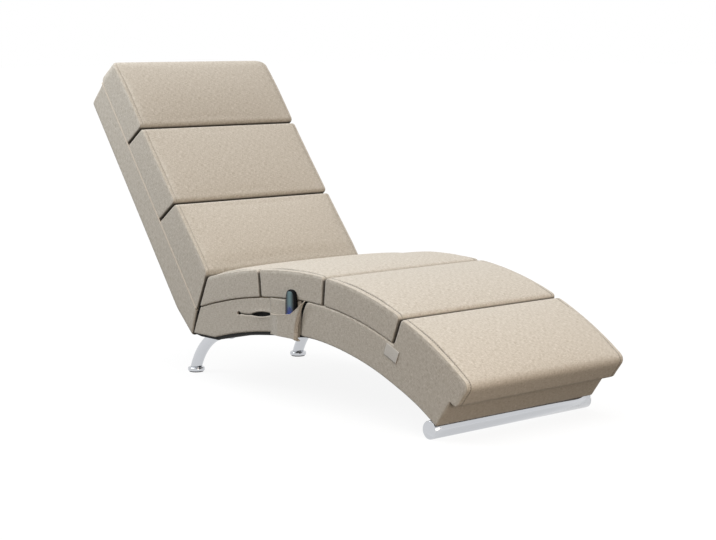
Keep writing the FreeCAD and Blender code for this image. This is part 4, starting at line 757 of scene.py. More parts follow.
class LOUNGER_OT_base_covers(bpy.types.Operator):
    """Upholstered bases of the back, seat and leg modules"""
    bl_idname = "lounger.base_covers"
    bl_label = "Base covers"

    def execute(self, context):
        self.leg_base()
        self.back_base()
        self.seat_left()
        self.seat_right()
        self.welts()
        self.shade_linings()
        return {"FINISHED"}

    def block(self, name, loop, normals, rim, centre, half, widths, place, nodes, dark=None):
        """Closed upholstered block; place maps the outline's coordinates and the place across to a point.

        dark takes each ring's kind and number and marks where the cloth lies in a slit; there shade is painted
        into the colour through the "seam" attribute.
        """
        a, b, c, kinds = stacked_block(loop, normals, rim, centre, half, widths)
        points = place(a, b, c).reshape(-1, 3)
        faces = outward(points, grid_faces(len(a), len(loop), wrap=True))
        piece, merged = make_mesh(name, points, faces, block_uv(a, b, c, kinds, faces, len(loop)))
        if dark:
            inside = dark(kinds[:, None], np.arange(len(kinds))[:, None])
            mark_painted_shade(piece, merged, np.broadcast_to(inside, a.shape))
        subdivide(piece)
        finish_piece(piece, "lounger", finishes()["linen"], nodes)

    def leg_base(self):
        """Leg base from the joint to the foot end: its depth follows the two arcs.

        Its upper rear corner is drawn forward by j k^3 exp(-a / 60 mm), with k the share of the height.
        Beside the foot cushion its upper edge is sharp, so that both sides read as one.
        """
        form = bpy.context.scene.lounger_form
        start = JOINT_X - 0.0022 - ARCH_X
        long, high = LEG_END - start, BASE_HIGH
        loop, normals, parts = rounded_loop(long, high, (0.006,) * 4, BASE_GRID)
        rim = np.choose(parts, [0.004, 0.006, 0.004, 0.006])
        rim = np.where((parts == 2) & (loop[:, 0] > FOOT_SLIT - start), 0.0003, soften(rim, 3))
        centre = middle_line(loop, long, high)

        def place(a, b, c):
            s = start + a + form.joint_lean * (b / high) ** 3 * np.exp(-a / 0.06)
            low = under(s) - 0.003 * np.clip(s / 0.2, 0, 1) * np.clip((0.5 - s) / 0.1, 0, 1)
            x, z = wave(s, low + (-COVER_GAP - low) * b / high)
            return np.stack([x, c, z], -1)

        self.block("leg_base_cover", loop, normals, rim, centre, WIDE, np.linspace(-1, 1, 41), place,
                   ["leg_side_panel_left", "leg_side_panel_right", "leg_front_panel"],
                   # painted shade on the head end, which faces into the gap at the joint
                   lambda kind, ring: (kind == 2) & (parts == 3))

    def back_base(self):
        """Back base: a rounded section in width and depth, carried up from the hip slit to the top."""
        wide, deep = 2 * WIDE, BACK_DEPTH
        loop, normals, parts = rounded_loop(wide, deep, (0.012, 0.004, 0.004, 0.012), BASE_GRID)
        rim = soften(np.choose(parts, [0.010, 0.008, 0.004, 0.008]), 3)
        centre = middle_line(loop, wide, deep)
        half = 0.38

        def place(a, b, c):
            out = b - deep - COVER_GAP
            low, top = hip_up(out), BACK_BASE_TOP + out * BACK_TOP_FALL / deep
            up = low + (top - low) * (c + half) / (2 * half)
            heel = np.clip((0.002 - up) / 0.094, 0, 1) * HEEL * (-out / deep)
            x, z = back(up, out + heel)
            return np.stack([x, a - WIDE, z], -1)

        self.block("back_base_cover", loop, normals, rim, centre, half, np.linspace(-1, 1, 61), place,
                   ["back_side_panel_left", "back_side_panel_right", "back_rear_panel", "back_end_panels"],
                   # painted shade on the lower end, which lies in the hip slit
                   lambda kind, ring: ring < 8)

    def seat_place(self, q, k):
        """Point of the seat base's side: q runs from hip slit to joint, k from underside to seam."""
        end = JOINT_X - MODULE_GAP / 2 - ARCH_X
        h = -0.1 * (1 - k)
        for _ in range(4):
            s = hip_s(h) * (1 - q) + end * q
            h = under(s) * (1 - k) - COVER_GAP * k
        return wave(s, h)

    def seat_left(self):
        """Plain padded panel on the left side of the seat base."""
        long, high = SEAT_LONG, BASE_HIGH
        loop, normals, _ = rounded_loop(long, high, (0.004,) * 4, BASE_GRID)
        rim = np.full(len(loop), 0.004)
        centre = middle_line(loop, long, high)

        def place(a, b, c):
            x, z = self.seat_place(a / long, b / high)
            return np.stack([x, HALF - PANEL / 2 + c, z], -1)

        self.block("seat_left_cover", loop, normals, rim, centre, PANEL / 2, np.linspace(-1, 1, 3), place,
                   ["seat_side_panel_left"])

    def seat_right(self):
        """Padded panel on the right with the gaping cable slit.

        Two sheets meet along the slit's line. Along the slit the upper one is drawn up and the lower
        one down by g(x) exp(-(d / 9 mm)^2), where g is the half gap and d the distance from the line:
        a small round eye at the rear end, a narrow neck and a lens.
        """
        columns = 220
        q = np.linspace(0, 1, columns)
        far = np.array([0.0, 0.012, 0.03, 0.06, 0.11, 0.18, 0.28, 0.4, 0.55, 0.7, 0.83, 0.92, 0.965, 0.985,
                        1.0])
        middle_x, _ = self.seat_place(q, np.full(columns, 0.5))
        slit = SLIT_SHARE + 0.066 * np.clip((SLIT_NECK_X - middle_x) / (SLIT_NECK_X - SLIT_EYE_X), 0, 1) ** 2
        sheets = []
        for upper in (False, True):
            k = slit * (1 - far[:, None]) + far[:, None] * (1.0 if upper else 0.0)
            x, z = self.seat_place(np.repeat(q[None], len(far), 0), k)
            away = np.abs(z - z[:1])
            eye = 0.0038 * np.sqrt(np.clip(1 - ((x - SLIT_EYE_X) / 0.0075) ** 2, 0, 1))
            neck = 0.0008 * np.clip((x - SLIT_EYE_X) / 0.01, 0, 1) * np.clip((SLIT_END_X - x) / 0.01, 0, 1)
            middle = (x - SLIT_MIDDLE_X) / (SLIT_END_X - SLIT_MIDDLE_X)
            lens = SLIT_GAP * np.clip(1 - middle ** 2, 0, 1) ** 1.2
            gap = np.maximum(np.maximum(eye, lens), neck)
            pull = gap * np.exp(-(away / 0.009) ** 2)
            z = z + (pull if upper else -pull)
            border = np.minimum(np.minimum(q, 1 - q)[None] * SEAT_LONG, (1 - far[:, None]) * 0.045)
            inset = 0.004 - np.sqrt(np.clip(0.004 ** 2 - np.clip(0.004 - border, 0, 0.004) ** 2, 0, None))
            pucker = 0.0018 * (gap / SLIT_GAP) * np.exp(-(away / 0.012) ** 2)
            curl = 0.0018 * np.exp(-(away / 0.0016) ** 2) * (gap > 0.0004)
            sheets.append(np.stack([x, -HALF + inset - pucker + curl, z], -1))
        rows = np.concatenate([sheets[0][::-1], sheets[1]])
        points = rows.reshape(-1, 3)
        faces = grid_faces(len(rows), columns)
        gap = (len(far) - 1) * columns
        faces = facing_right(points, faces[(faces[:, 0] < gap) | (faces[:, 0] >= gap + columns)])
        uv = points[faces][:, :, [0, 2]] + [0.0, 0.3]
        piece, _ = make_mesh("seat_right_cover", points, faces, uv)
        thicken(piece, "padding", PANEL - 0.0015, -1)
        subdivide(piece)
        finish_piece(piece, "lounger", finishes()["linen"], ["seat_side_panel_right"])

    def welts(self):
        """Raised seam between the back base and its cushions, on both sides."""
        up = np.linspace(float(hip_up(0.0)) + 0.004, BACK_BASE_TOP, 160)
        for label, side in SIDES:
            x, z = back(up, np.zeros_like(up))
            path = np.stack([x, np.full_like(x, side * (WIDE - 0.0014)), z], -1)
            welt = tube_mesh("back_welt_" + label, path, 0.0026)
            finish_piece(welt, "lounger", finishes()["thread"])

    def shade_linings(self):
        """Black cloth that closes the two gaps between the modules, behind the side panels. It is partly a real
        lining and partly painted shade: it is black so that the gaps show dark.
        """
        inner = HALF - PANEL + 0.0008
        seam_z = float(wave(hip_s(0.0), 0.0)[1])
        back_x = HIP_X - HIP_GAP / 2 / math.cos(HIP_LEAN) + 0.0006
        seat_x = JOINT_X - MODULE_GAP / 2 + 0.0004
        for label, side in SIDES:
            hip = [(back_x, HALF - 0.003), (back_x, inner), (back_x + 0.018, inner)]
            self.lining("hip_shade_lining_" + label, hip, side, (SEAT_FLOOR + 0.003, seam_z), HIP_Z, HIP_LEAN)
            joint = [(seat_x, HALF - 0.0035), (seat_x, inner), (seat_x + 0.036, inner)]
            heights = (ARCH_UNDER + 0.0015, SEAM_Z - 0.002)
            self.lining("joint_shade_lining_" + label, joint, side, heights, SEAM_Z, 0.0)
        self.slit_shade_lining()

    def slit_shade_lining(self):
        """Black cloth behind the cable slit, between the panel and the rail, along the panel's own curve. It is
        partly a real lining and partly painted shade: it is black so that the slit shows dark.
        """
        q = np.linspace(0, 1, 220)
        x, _ = self.seat_place(q, np.full(220, SLIT_SHARE))
        q = np.linspace(*np.interp([SLIT_EYE_X - 0.016, SLIT_END_X + 0.016], x, q), 40)
        k = np.linspace(SLIT_SHARE - 0.22, SLIT_SHARE + 0.28, 12)
        x, z = self.seat_place(np.repeat(q[None], 12, 0), np.repeat(k[:, None], 40, 1))
        grid = np.stack([x, np.full_like(x, -HALF + PANEL - 0.0007), z], -1)
        points = grid.reshape(-1, 3)
        piece, _ = make_mesh("slit_shade_lining", points, facing_right(points, grid_faces(12, 40)))
        thicken(piece, "cloth", 0.0004)
        finish_piece(piece, "lounger", finishes()["liner"])

    def lining(self, name, profile, side, heights, level, lean):
        """A strip of cloth bent round two edges: its profile in X and Y carried up along a lean."""
        profile = np.array(profile)
        z = np.linspace(*heights, 24)
        x = profile[None, :, 0] + (z[:, None] - level) * math.tan(lean)
        y = np.repeat(profile[None, :, 1] * side, len(z), 0)
        points = np.stack([x, y, np.repeat(z[:, None], len(profile), 1)], -1).reshape(-1, 3)
        faces = grid_faces(len(z), len(profile))
        piece, _ = make_mesh(name, points, faces if side < 0 else faces[:, ::-1])
        thicken(piece, "cloth", 0.0004)
        finish_piece(piece, "lounger", finishes()["liner"])


# Under the base

class LOUNGER_OT_dust_cloth(bpy.types.Operator):
    """Black cloth under the seat and leg bases, stapled along its edges and sagging between them"""
    bl_idname = "lounger.dust_cloth"
    bl_label = "Dust cloth"

    def execute(self, context):
        form = context.scene.lounger_form
        edge = HALF - 0.0035
        turned_in = np.array([0.0, 0.0005, 0.001, 0.002, 0.004, 0.007, 0.011, 0.018])
        low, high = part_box("dust_covers")
        s = np.linspace(-0.5, 0.2, 400)
        start = float(np.interp(low.x - 0.001, wave(s, under(s))[0], s))
        end = math.asin((high.x - ARCH_X) / (LEG_R - 0.09)) * LEG_R
        s = np.linspace(start, end, 90)
        y = np.concatenate([turned_in - edge, np.linspace(0.03 - edge, edge - 0.03, 24),
                            edge - turned_in[::-1]])
        share = (s - start) / (end - start)
        hang = np.interp(share, [0, 0.10, 0.26, 0.42, 0.47, 1], [0.8, 0.8, 1, 0.9, 0.3, 0.2]) * form.liner_sag
        x, z = wave(s, under(s) - 0.0006)
        within = edge - np.abs(y)
        across = np.sqrt(np.clip(within / 0.007, 0, 1))
        tucked = 0.004 * np.clip(1 - within / 0.001, 0, 1)
        self.cloth("dust_cloth", x, y, z[:, None] + tucked - hang[:, None] * across, (2 * edge, end - start),
                   "seat_cross_rails", ["dust_covers"])
        x = np.linspace(wave(hip_s(-0.07), -0.07)[0] + 0.004, low.x, 24)
        sag = 0.0066 * np.clip(np.linspace(0, 4, 24), 0, 1)
        within = np.concatenate([turned_in[:6], [0.010, 0.013, 0.016, 0.018, 0.019, 0.020]])
        across = np.sqrt(1 - (within / 0.010 - 1) ** 2)
        tucked = 0.004 * np.clip(1 - within / 0.001, 0, 1)
        for label, side in SIDES:
            y = (edge - within)[::-1] * side
            z = (SEAT_FLOOR - 0.0006 + tucked - sag[:, None] * across)[:, ::-1]
            self.cloth("floor_strip_" + label, x, y, z, (0.026, float(x[-1] - x[0])), "seat_side_rails")
        return {"FINISHED"}

    def cloth(self, name, x, y, z, flat, rests_on, nodes=()):
        """A sheet over a grid of X and Y, at heights Z, its upper face towards the base."""
        points = np.stack([np.repeat(x[:, None], len(y), 1), np.repeat(y[None], len(x), 0), z], -1)
        faces = grid_faces(len(x), len(y))
        piece, _ = make_mesh(name, points.reshape(-1, 3), faces if y[-1] > y[0] else faces[:, ::-1])
        thicken(piece, "thickness", 0.0010)
        subdivide(piece)
        finish_piece(piece, "lounger", finishes()["liner"], nodes)


# Chrome

LEG_Y, FOOT_X = 0.188, -0.4055
LEG_RUN_Z, LEG_REACH, LEG_TUBE, FOOT_TOP = 0.1315, 0.170, 0.016, 0.014


class LOUNGER_OT_chrome(bpy.types.Operator):
    """Bent rear legs with their plates and feet, and the tube across the foot end with its caps"""
    bl_idname = "lounger.chrome"
    bl_label = "Chrome"

    def execute(self, context):
        chrome = finishes()["chrome"]
        for label, side in SIDES:
            self.leg(label, side * LEG_Y, chrome)
        self.tube(chrome)
        return {"FINISHED"}

    def leg(self, label, y, chrome):
        """Tube along an arc that turns from level under its plate to steep at the foot.

        The arc's radius is (reach^2 + rise^2) / (2 rise). The level end is cut at a slant below the plate.
        """
        node = "rear_leg_" + label
        low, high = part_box(node)
        rise = LEG_RUN_Z - FOOT_TOP
        bend = (LEG_REACH ** 2 + rise ** 2) / (2 * rise)
        turn = np.linspace(0, math.acos(1 - (rise + 0.002) / bend), 60)
        bend_x = FOOT_X + LEG_REACH
        x = np.concatenate([np.linspace(high.x, bend_x, 12)[:-1], bend_x - bend * np.sin(turn)])
        z = np.concatenate([np.full(11, LEG_RUN_Z), LEG_RUN_Z - bend + bend * np.cos(turn)])
        path = np.stack([x, np.full_like(x, y), z], -1)
        piece = tube_mesh("rear_leg_tube_" + label, path, LEG_TUBE, sides=48)
        places = vertex_places(piece.data)
        past = (places[:, 0] - bend_x) / (high.x - bend_x)
        cut = np.where(past > 0, LEG_RUN_Z + LEG_TUBE * (1.9 * past - 1), 0)
        places[:, 2] = np.maximum(places[:, 2], cut)
        move_vertices(piece.data, places)
        finish_piece(piece, "lounger", chrome, [node])
        rear, wide = -0.256, high.y - low.y
        loop, normals, _ = rounded_loop(high.x - rear, wide, (0.006,) * 4, 0.004)
        centre = np.stack([np.full(len(loop), (high.x - rear) / 2), np.clip(loop[:, 1], 0.03, wide - 0.03)], 1)
        rim = np.full(len(loop), 0.0006)
        a, b, c, _ = stacked_block(loop, normals, rim, centre, 0.002, np.linspace(-1, 1, 3), 3)
        points = np.stack([rear + a, low.y + b, SEAT_FLOOR + 0.014 + c], -1).reshape(-1, 3)
        faces = outward(points, grid_faces(len(a), len(loop), wrap=True))
        plate, _ = make_mesh("leg_plate_" + label, points, faces)
        finish_piece(plate, "lounger", chrome)

    def turned(self, name, profile, centre, axis, chrome, nodes=()):
        """Surface of revolution: profile rows are (along the axis, radius)."""
        profile = np.array(profile)
        turn = np.arange(64) / 64 * 2 * math.pi
        axis = Vector(axis)
        side = axis.orthogonal().normalized()
        other = axis.cross(side)
        ring = np.cos(turn)[:, None] * np.array(side) + np.sin(turn)[:, None] * np.array(other)
        points = np.array(centre) + profile[:, None, :1] * np.array(axis) + profile[:, None, 1:] * ring[None]
        faces = outward(points.reshape(-1, 3), grid_faces(len(profile), 64, wrap=True))
        piece, _ = make_mesh(name, points.reshape(-1, 3), faces)
        return finish_piece(piece, "lounger", chrome, nodes)

    def tube(self, chrome):
        """Tube across the foot end with its turned caps, and the round feet of the rear legs."""
        low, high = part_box("front_tube")
        x, z, end = (low.x + high.x) / 2, (low.z + high.z) / 2, high.y
        wall = [(-end, 0.0205), (-end, 0.0222), (-end + 0.0003, 0.0225), (end - 0.0003, 0.0225),
                (end, 0.0222), (end, 0.0205), (-end, 0.0205)]
        self.turned("front_tube_wall", wall, (x, 0, z), (0, 1, 0), chrome, ["front_tube"])
        for label, side in SIDES:
            cap = [(-0.015, 0), (-0.015, 0.0200), (0, 0.0200), (0, 0.0222), (0.0004, 0.0225),
                   (0.0022, 0.0225), (0.0030, 0.0217), (0.0030, 0.0195), (0.0026, 0.0188), (0.0026, 0)]
            nodes = ["tube_end_caps"] if side > 0 else ()
            self.turned("tube_cap_" + label, cap, (x, side * end, z), (0, side, 0), chrome, nodes)
            foot = [(0.003, 0), (0.003, 0.0226), (0.0034, 0.0236), (0.0042, 0.024), (0.0105, 0.024),
                    (0.0122, 0.0235), (0.0135, 0.0220), (FOOT_TOP, 0.0195), (FOOT_TOP, 0)]
            nodes = ["rear_feet"] if side > 0 else ()
            self.turned("rear_foot_" + label, foot, (FOOT_X, side * LEG_Y, 0), (0, 0, 1), chrome, nodes)


# Pouch and handset

POUCH_LOW, POUCH_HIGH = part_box("side_pocket")
POUCH_DEEP = -HALF - POUCH_LOW.y          # how far the pouch stands off the panel


class LOUNGER_OT_pouch(bpy.types.Operator):
    """Sewn pouch that hangs on the right side of the seat, its front corner flared over the joint"""
    bl_idname = "lounger.pouch"
    bl_label = "Pouch"

    def execute(self, context):
        self.front_layer()
        self.back_layer()
        return {"FINISHED"}

    def front_layer(self):
        """Front layer: a floor that leaves the panel, then a wall up to the lip.

        It lies on the panel at its rear edge and stands off by d(u) (a smooth step over the first 45 %),
        less towards its front edge. The lip climbs as u^1.3 and flares up in the last fifth, where the
        wall leans forward over the joint. The lower front corner droops.
        """
        floor_rows, wall_rows = 8, 34
        u, t = np.meshgrid(np.linspace(0, 1, 90), np.linspace(0, 1, floor_rows + wall_rows), indexing="ij")
        out = np.clip(t * (floor_rows + wall_rows - 1) / floor_rows, 0, 1)
        up = np.clip((t * (floor_rows + wall_rows - 1) - floor_rows) / (wall_rows - 1), 0, 1)
        flare = np.clip((u - 0.80) / 0.20, 0, 1) ** 1.6
        step = np.clip(u / 0.45, 0, 1)
        stand = step * step * (3 - 2 * step)
        close = np.clip((u - 0.93) / 0.07, 0, 1) ** 2
        deep = 0.0016 + (POUCH_DEEP - 0.0018) * stand * (1 - close * (0.72 - 0.45 * up))
        fold = 0.0009 * np.sin(u * 15 + up * 2.2) * np.sin(np.pi * u) * up * (1 - up * 0.4) * stand
        lip = POUCH_HIGH.z - 0.0345 + 0.0155 * u ** 1.3 + 0.0375 * flare
        low = POUCH_LOW.z - 0.0035 + 0.0030 * step - 0.0065 * np.clip((u - 0.86) / 0.14, 0, 1) ** 2
        x = POUCH_LOW.x + (POUCH_HIGH.x - POUCH_LOW.x) * u - 0.002 * close + 0.036 * up ** 2.2 * flare
        y = -HALF - 0.0004 - np.minimum(deep * out, POUCH_DEEP - 0.0006) + np.clip(fold, 0, None)
        z = low + (lip - low) * up - 0.003 * (1 - up) * np.sin(np.pi * out) * (1 - close) * 0.3
        points = np.stack([x, y, z], -1).reshape(-1, 3)
        faces = grid_faces(*u.shape)
        outer = faces[len(faces) // 2:]
        faces = faces if facing_right(points, outer) is outer else faces[:, ::-1]
        uv = np.stack([x, z - deep * (1 - out)], -1).reshape(-1, 2)[faces] + [0.4, 0.1]
        piece, _ = make_mesh("pouch_front", points, faces, uv)
        thicken(piece, "cloth", 0.0014, -1)
        subdivide(piece)
        finish_piece(piece, "lounger", finishes()["linen"], ["side_pocket"])
        edge = np.stack([x[:, -1], y[:, -1], z[:, -1]], -1)
        hem = tube_mesh("pouch_hem", edge + [0.0, 0.0006, 0.0], 0.0013)
        finish_piece(hem, "lounger", finishes()["thread"])

    def back_layer(self):
        """Flat layer sewn to the panel behind the pouch, with a row of stitches down its rear edge."""
        u, v = np.meshgrid(np.linspace(0, 1, 20), np.linspace(0, 1, 20), indexing="ij")
        rear, top = POUCH_LOW.x, POUCH_HIGH.z + 0.0095
        x = rear + (POUCH_HIGH.x - 0.004 - rear) * u
        z = POUCH_LOW.z + 0.002 + (top - POUCH_LOW.z - 0.002) * v
        points = np.stack([x, np.full_like(x, -HALF - 0.0011), z], -1).reshape(-1, 3)
        faces = facing_right(points, grid_faces(20, 20))
        uv = points[faces][:, :, [0, 2]] + [0.9, 0.5]
        piece, _ = make_mesh("pouch_back", points, faces, uv)
        thicken(piece, "cloth", 0.0008)
        finish_piece(piece, "lounger", finishes()["linen"])
        z = np.linspace(POUCH_LOW.z + 0.004, top, 60)
        path = np.stack([np.full(60, rear + 0.003), np.full(60, -HALF - 0.0017), z], -1)
        form = bpy.context.scene.lounger_form
        outwards = np.repeat([[0.0, -1.0, 0.0]], 60, 0)
        points, faces = stitches(path, outwards, form.stitch_pitch, form.stitch, THREAD)
        thread, _ = make_mesh("pouch_stitching", points, faces)
        finish_piece(thread, "lounger", finishes()["thread"])


HAND_LOW, HAND_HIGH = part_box("handset_front_shell")
HAND_X, HAND_Z = (HAND_LOW.x + HAND_HIGH.x) / 2, HAND_LOW.z
HAND_THICK = 0.013
HAND_Y = HAND_LOW.y + HAND_THICK / 2
HAND_TALL, HAND_WIDE, HAND_TOP = HAND_HIGH.z - HAND_LOW.z, HAND_HIGH.x - HAND_LOW.x, 0.032
HAND_SHOULDER = 0.65 * HAND_TALL


def handset_half_width(z):
    """Half width of the handset at a height: constant below the shoulder, narrowing above, round ends.

    An end is a quarter of an ellipse, sqrt(1 - t^2), over 9 mm at the bottom and 14 mm at the top.
    """
    taper = np.clip((z - HAND_SHOULDER) / (HAND_TALL - HAND_SHOULDER), 0, 1)
    wide = (HAND_WIDE - (HAND_WIDE - HAND_TOP) * taper ** 1.6) / 2
    low = np.sqrt(np.clip(1 - np.clip((0.009 - z) / 0.009, 0, 1) ** 2, 0, 1))
    top = np.sqrt(np.clip(1 - np.clip((z - HAND_TALL + 0.014) / 0.014, 0, 1) ** 2, 0, 1))
    return wide * np.minimum(0.45 + 0.55 * low, 1) * top


def gloss_face(name, upper, lower):
    """Lacquered panel: clear gloss over grey-teal, blue from 45 mm below the top, brightened down the middle as
    a painted highlight and darkened to black along the sides, partly its black border and partly painted shade.
    """
    made, tree, shader = material(name)
    place = add(tree, "ShaderNodeTexCoord").outputs["Object"]
    parts = add(tree, "ShaderNodeSeparateXYZ", {0: place}).outputs
    share = add(tree, "ShaderNodeMapRange", {0: parts["Z"], 1: HAND_Z + 0.066, 2: HAND_Z + 0.086}).outputs[0]
    plain = ramp(tree, share, [(0.0, lower), (0.9, upper)])
    aside = maths(tree, "ABSOLUTE", maths(tree, "SUBTRACT", parts["X"], HAND_X))
    # painted highlight and shade: the colour is scaled by 1.9 in the middle of the face, down to 0.05 at its
    # sides
    painted_highlight_and_shade = add(tree, "ShaderNodeMapRange", {0: aside, 1: 0.003, 2: 0.014, 3: 1.9, 4: 0.05}).outputs[0]
    painted_light_colour = add(tree, "ShaderNodeVectorMath", {0: plain, "Scale": painted_highlight_and_shade}, operation="SCALE").outputs[0]
    put(tree, shader, {"Base Color": painted_light_colour, "Roughness": 0.16, "Specular IOR Level": 0.2,
                       "Coat Weight": 0.15, "Coat Roughness": 0.05})
    return made


class LOUNGER_OT_handset(bpy.types.Operator):
    """Slim handset in the pouch: moulded body, glossy face and domed buttons"""
    bl_idname = "lounger.handset"
    bl_label = "Handset"

    def execute(self, context):
        """Body: superellipse sections, |x/w|^n + |y/t|^n = 1 with n = 3.2, carried up with half width w(z)."""
        c = context.scene.lounger_colours
        lower = 0.5 - 0.5 * np.cos(np.linspace(0, np.pi, 49))
        z = lower * HAND_TALL
        turn = np.arange(48) / 48 * 2 * math.pi
        power = 2 / 3.2
        cx = np.sign(np.cos(turn)) * np.abs(np.cos(turn)) ** power
        cy = np.sign(np.sin(turn)) * np.abs(np.sin(turn)) ** power
        wide = handset_half_width(z)
        end = np.sqrt(np.clip(1 - np.clip((z - HAND_TALL + 0.006) / 0.006, 0, 1) ** 2, 0, 1))
        low = np.sqrt(np.clip(1 - np.clip((0.004 - z) / 0.004, 0, 1) ** 2, 0, 1))
        thick = HAND_THICK / 2 * np.minimum(end, 0.3 + 0.7 * low)
        rings = np.stack([HAND_X + wide[:, None] * cx, HAND_Y + thick[:, None] * cy,
                          np.repeat(HAND_Z + z[:, None], 48, 1)], -1)
        low_end = np.repeat(rings[:1].mean(1, keepdims=True), 48, 1)
        top_end = np.repeat(rings[-1:].mean(1, keepdims=True), 48, 1)
        rings = np.concatenate([low_end, rings, top_end])
        points = rings.reshape(-1, 3)
        faces = outward(points, grid_faces(len(rings), 48, wrap=True))
        body, _ = make_mesh("handset_body", points, faces)
        finish_piece(body, "handset", finishes()["shell"],
                     ["handset_rear_shell", "handset_front_shell"])
        self.face(gloss_face("lacquered_face", tuple(c.face), tuple(c.face_low)))
        self.buttons(speckled("button_plastic", tuple(c.face_low), srgb("#22397F"), 0.0006, 0.4))
        return {"FINISHED"}

    def face(self, gloss):
        """Glossy face: the body's outline drawn in by 5.5 mm, bowed out by b (1 - u^2), a little proud."""
        v = np.linspace(0, 1, 60)
        z = 0.030 + v * (HAND_TALL - 0.0345 - 0.0005)
        wide = np.clip(handset_half_width(z) - 0.0055, 0.0004, None)
        u = np.linspace(-1, 1, 25)
        edge = np.minimum((1 - np.abs(u))[None] * wide[:, None], np.minimum(z - z[0], z[-1] - z)[:, None])
        proud = 0.0005 * np.clip(edge / 0.0012, 0, 1) ** 0.5
        bow = 0.0004 * (1 - u[None] ** 2)
        y = HAND_Y - HAND_THICK / 2 - proud - bow + 0.0006
        points = np.stack([HAND_X + u[None] * wide[:, None], y, np.repeat(HAND_Z + z[:, None], 25, 1)], -1)
        faces = grid_faces(60, 25)
        points = points.reshape(-1, 3)
        piece, _ = make_mesh("handset_face", points, facing_right(points, faces))
        thicken(piece, "lens", 0.0012, -1)
        finish_piece(piece, "handset", gloss, ["handset_display"])

    def buttons(self, plastic):
        """Domed discs: a quarter-ellipse profile turned about each button's axis."""
        for label in ("power", "mode", "heat", "zone", "strength"):
            node = label + "_button"
            low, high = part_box(node)
            turn = np.arange(32) / 32 * 2 * math.pi
            profile = np.array([(high.y, 0.0), (high.y, 0.0043), (low.y + 0.0007, 0.0043),
                                (low.y + 0.0003, 0.0041), (low.y + 0.0001, 0.0036), (low.y, 0.0025),
                                (low.y, 0.0)])
            x, z = (low.x + high.x) / 2, (low.z + high.z) / 2
            points = np.stack([x + profile[:, 1:] * np.cos(turn)[None], np.repeat(profile[:, :1], 32, 1),
                               z + profile[:, 1:] * np.sin(turn)[None]], -1).reshape(-1, 3)
            faces = outward(points, grid_faces(len(profile), 32, wrap=True))
            piece, _ = make_mesh(label + "_key", points, faces)
            finish_piece(piece, node + "_body", plastic, [node])


class LOUNGER_OT_tab(bpy.types.Operator):
    """Blank woven tab sewn to the right side of the leg base"""
    bl_idname = "lounger.tab"
    bl_label = "Tab"

    def execute(self, context):
        """A small sheet on the panel, its front edge lifted a little: y = lift u^3."""
        u, v = np.meshgrid(np.linspace(0, 1, 30), np.linspace(0, 1, 18), indexing="ij")
        s = np.radians(20.5 + (23.5 - 20.5) * u) * LEG_R
        x, z = wave(s, -0.006 - 0.032 * v)
        y = -WIDE - 0.0007 - 0.0009 * u ** 3 - 0.0003 * np.sin(np.pi * v)
        points = np.stack([x, y, z], -1).reshape(-1, 3)
        piece, _ = make_mesh("side_tag", points, facing_right(points, grid_faces(30, 18)))
        thicken(piece, "cloth", 0.0005)
        finish_piece(piece, "lounger", finishes()["tab"], ["side_tab"])
        return {"FINISHED"}


class LOUNGER_OT_inner_parts(bpy.types.Operator):
    """Finishes of the boards, bolts, motors and boxes inside the base"""
    bl_idname = "lounger.inner_parts"
    bl_label = "Inner parts"

    def execute(self, context):
        by_slot = {"plywood": "wood", "dust_cloth": "liner", "chrome": "chrome", "steel": "steel",
                   "glide_rubber": "rubber", "black_plastic": "shell", "button_plastic": "shell",
                   "display": "shell", "circuit_board": "board", "heater_fabric": "felt",
                   "cushion_fabric": "thread", "base_fabric": "thread"}
        for row in frame["record"]["subparts"]:
            solid = frame["nodes"][row["node"]]
            solid.data.materials.clear()
            solid.data.materials.append(finishes()[by_slot[row["material_slot"]]])
        return {"FINISHED"}


# Stage

CAMERA_PLACE = (3.623, -3.102, 0.9581)
CAMERA_AZIMUTH, CAMERA_ELEVATION = math.radians(48.7804), math.radians(7.6623)
CAMERA_LENS = 1757.65 / 716 * 36
SKY_LOW, SKY_HIGH, SKY_AHEAD = 0.27, 0.68, 0.14     # light at the horizon, overhead, and more before the foot
OVERHEAD, OVERHEAD_FROM = 1.7, (-0.05, -0.08, 1.0)
SIDE_BOX, SIDE_BOX_PLACE = 16.0, (-1.0, -1.6, 1.6)  # on the pouch's side, aimed at the top of the back
FRONT_BOX, FRONT_BOX_PLACE = 12.0, (2.3, -0.7, 0.3)  # before the foot end
FLOOR_SHARE, FLOOR_WHITE = 0.84, 1.07               # how much of the floor looks plain white, and its strength


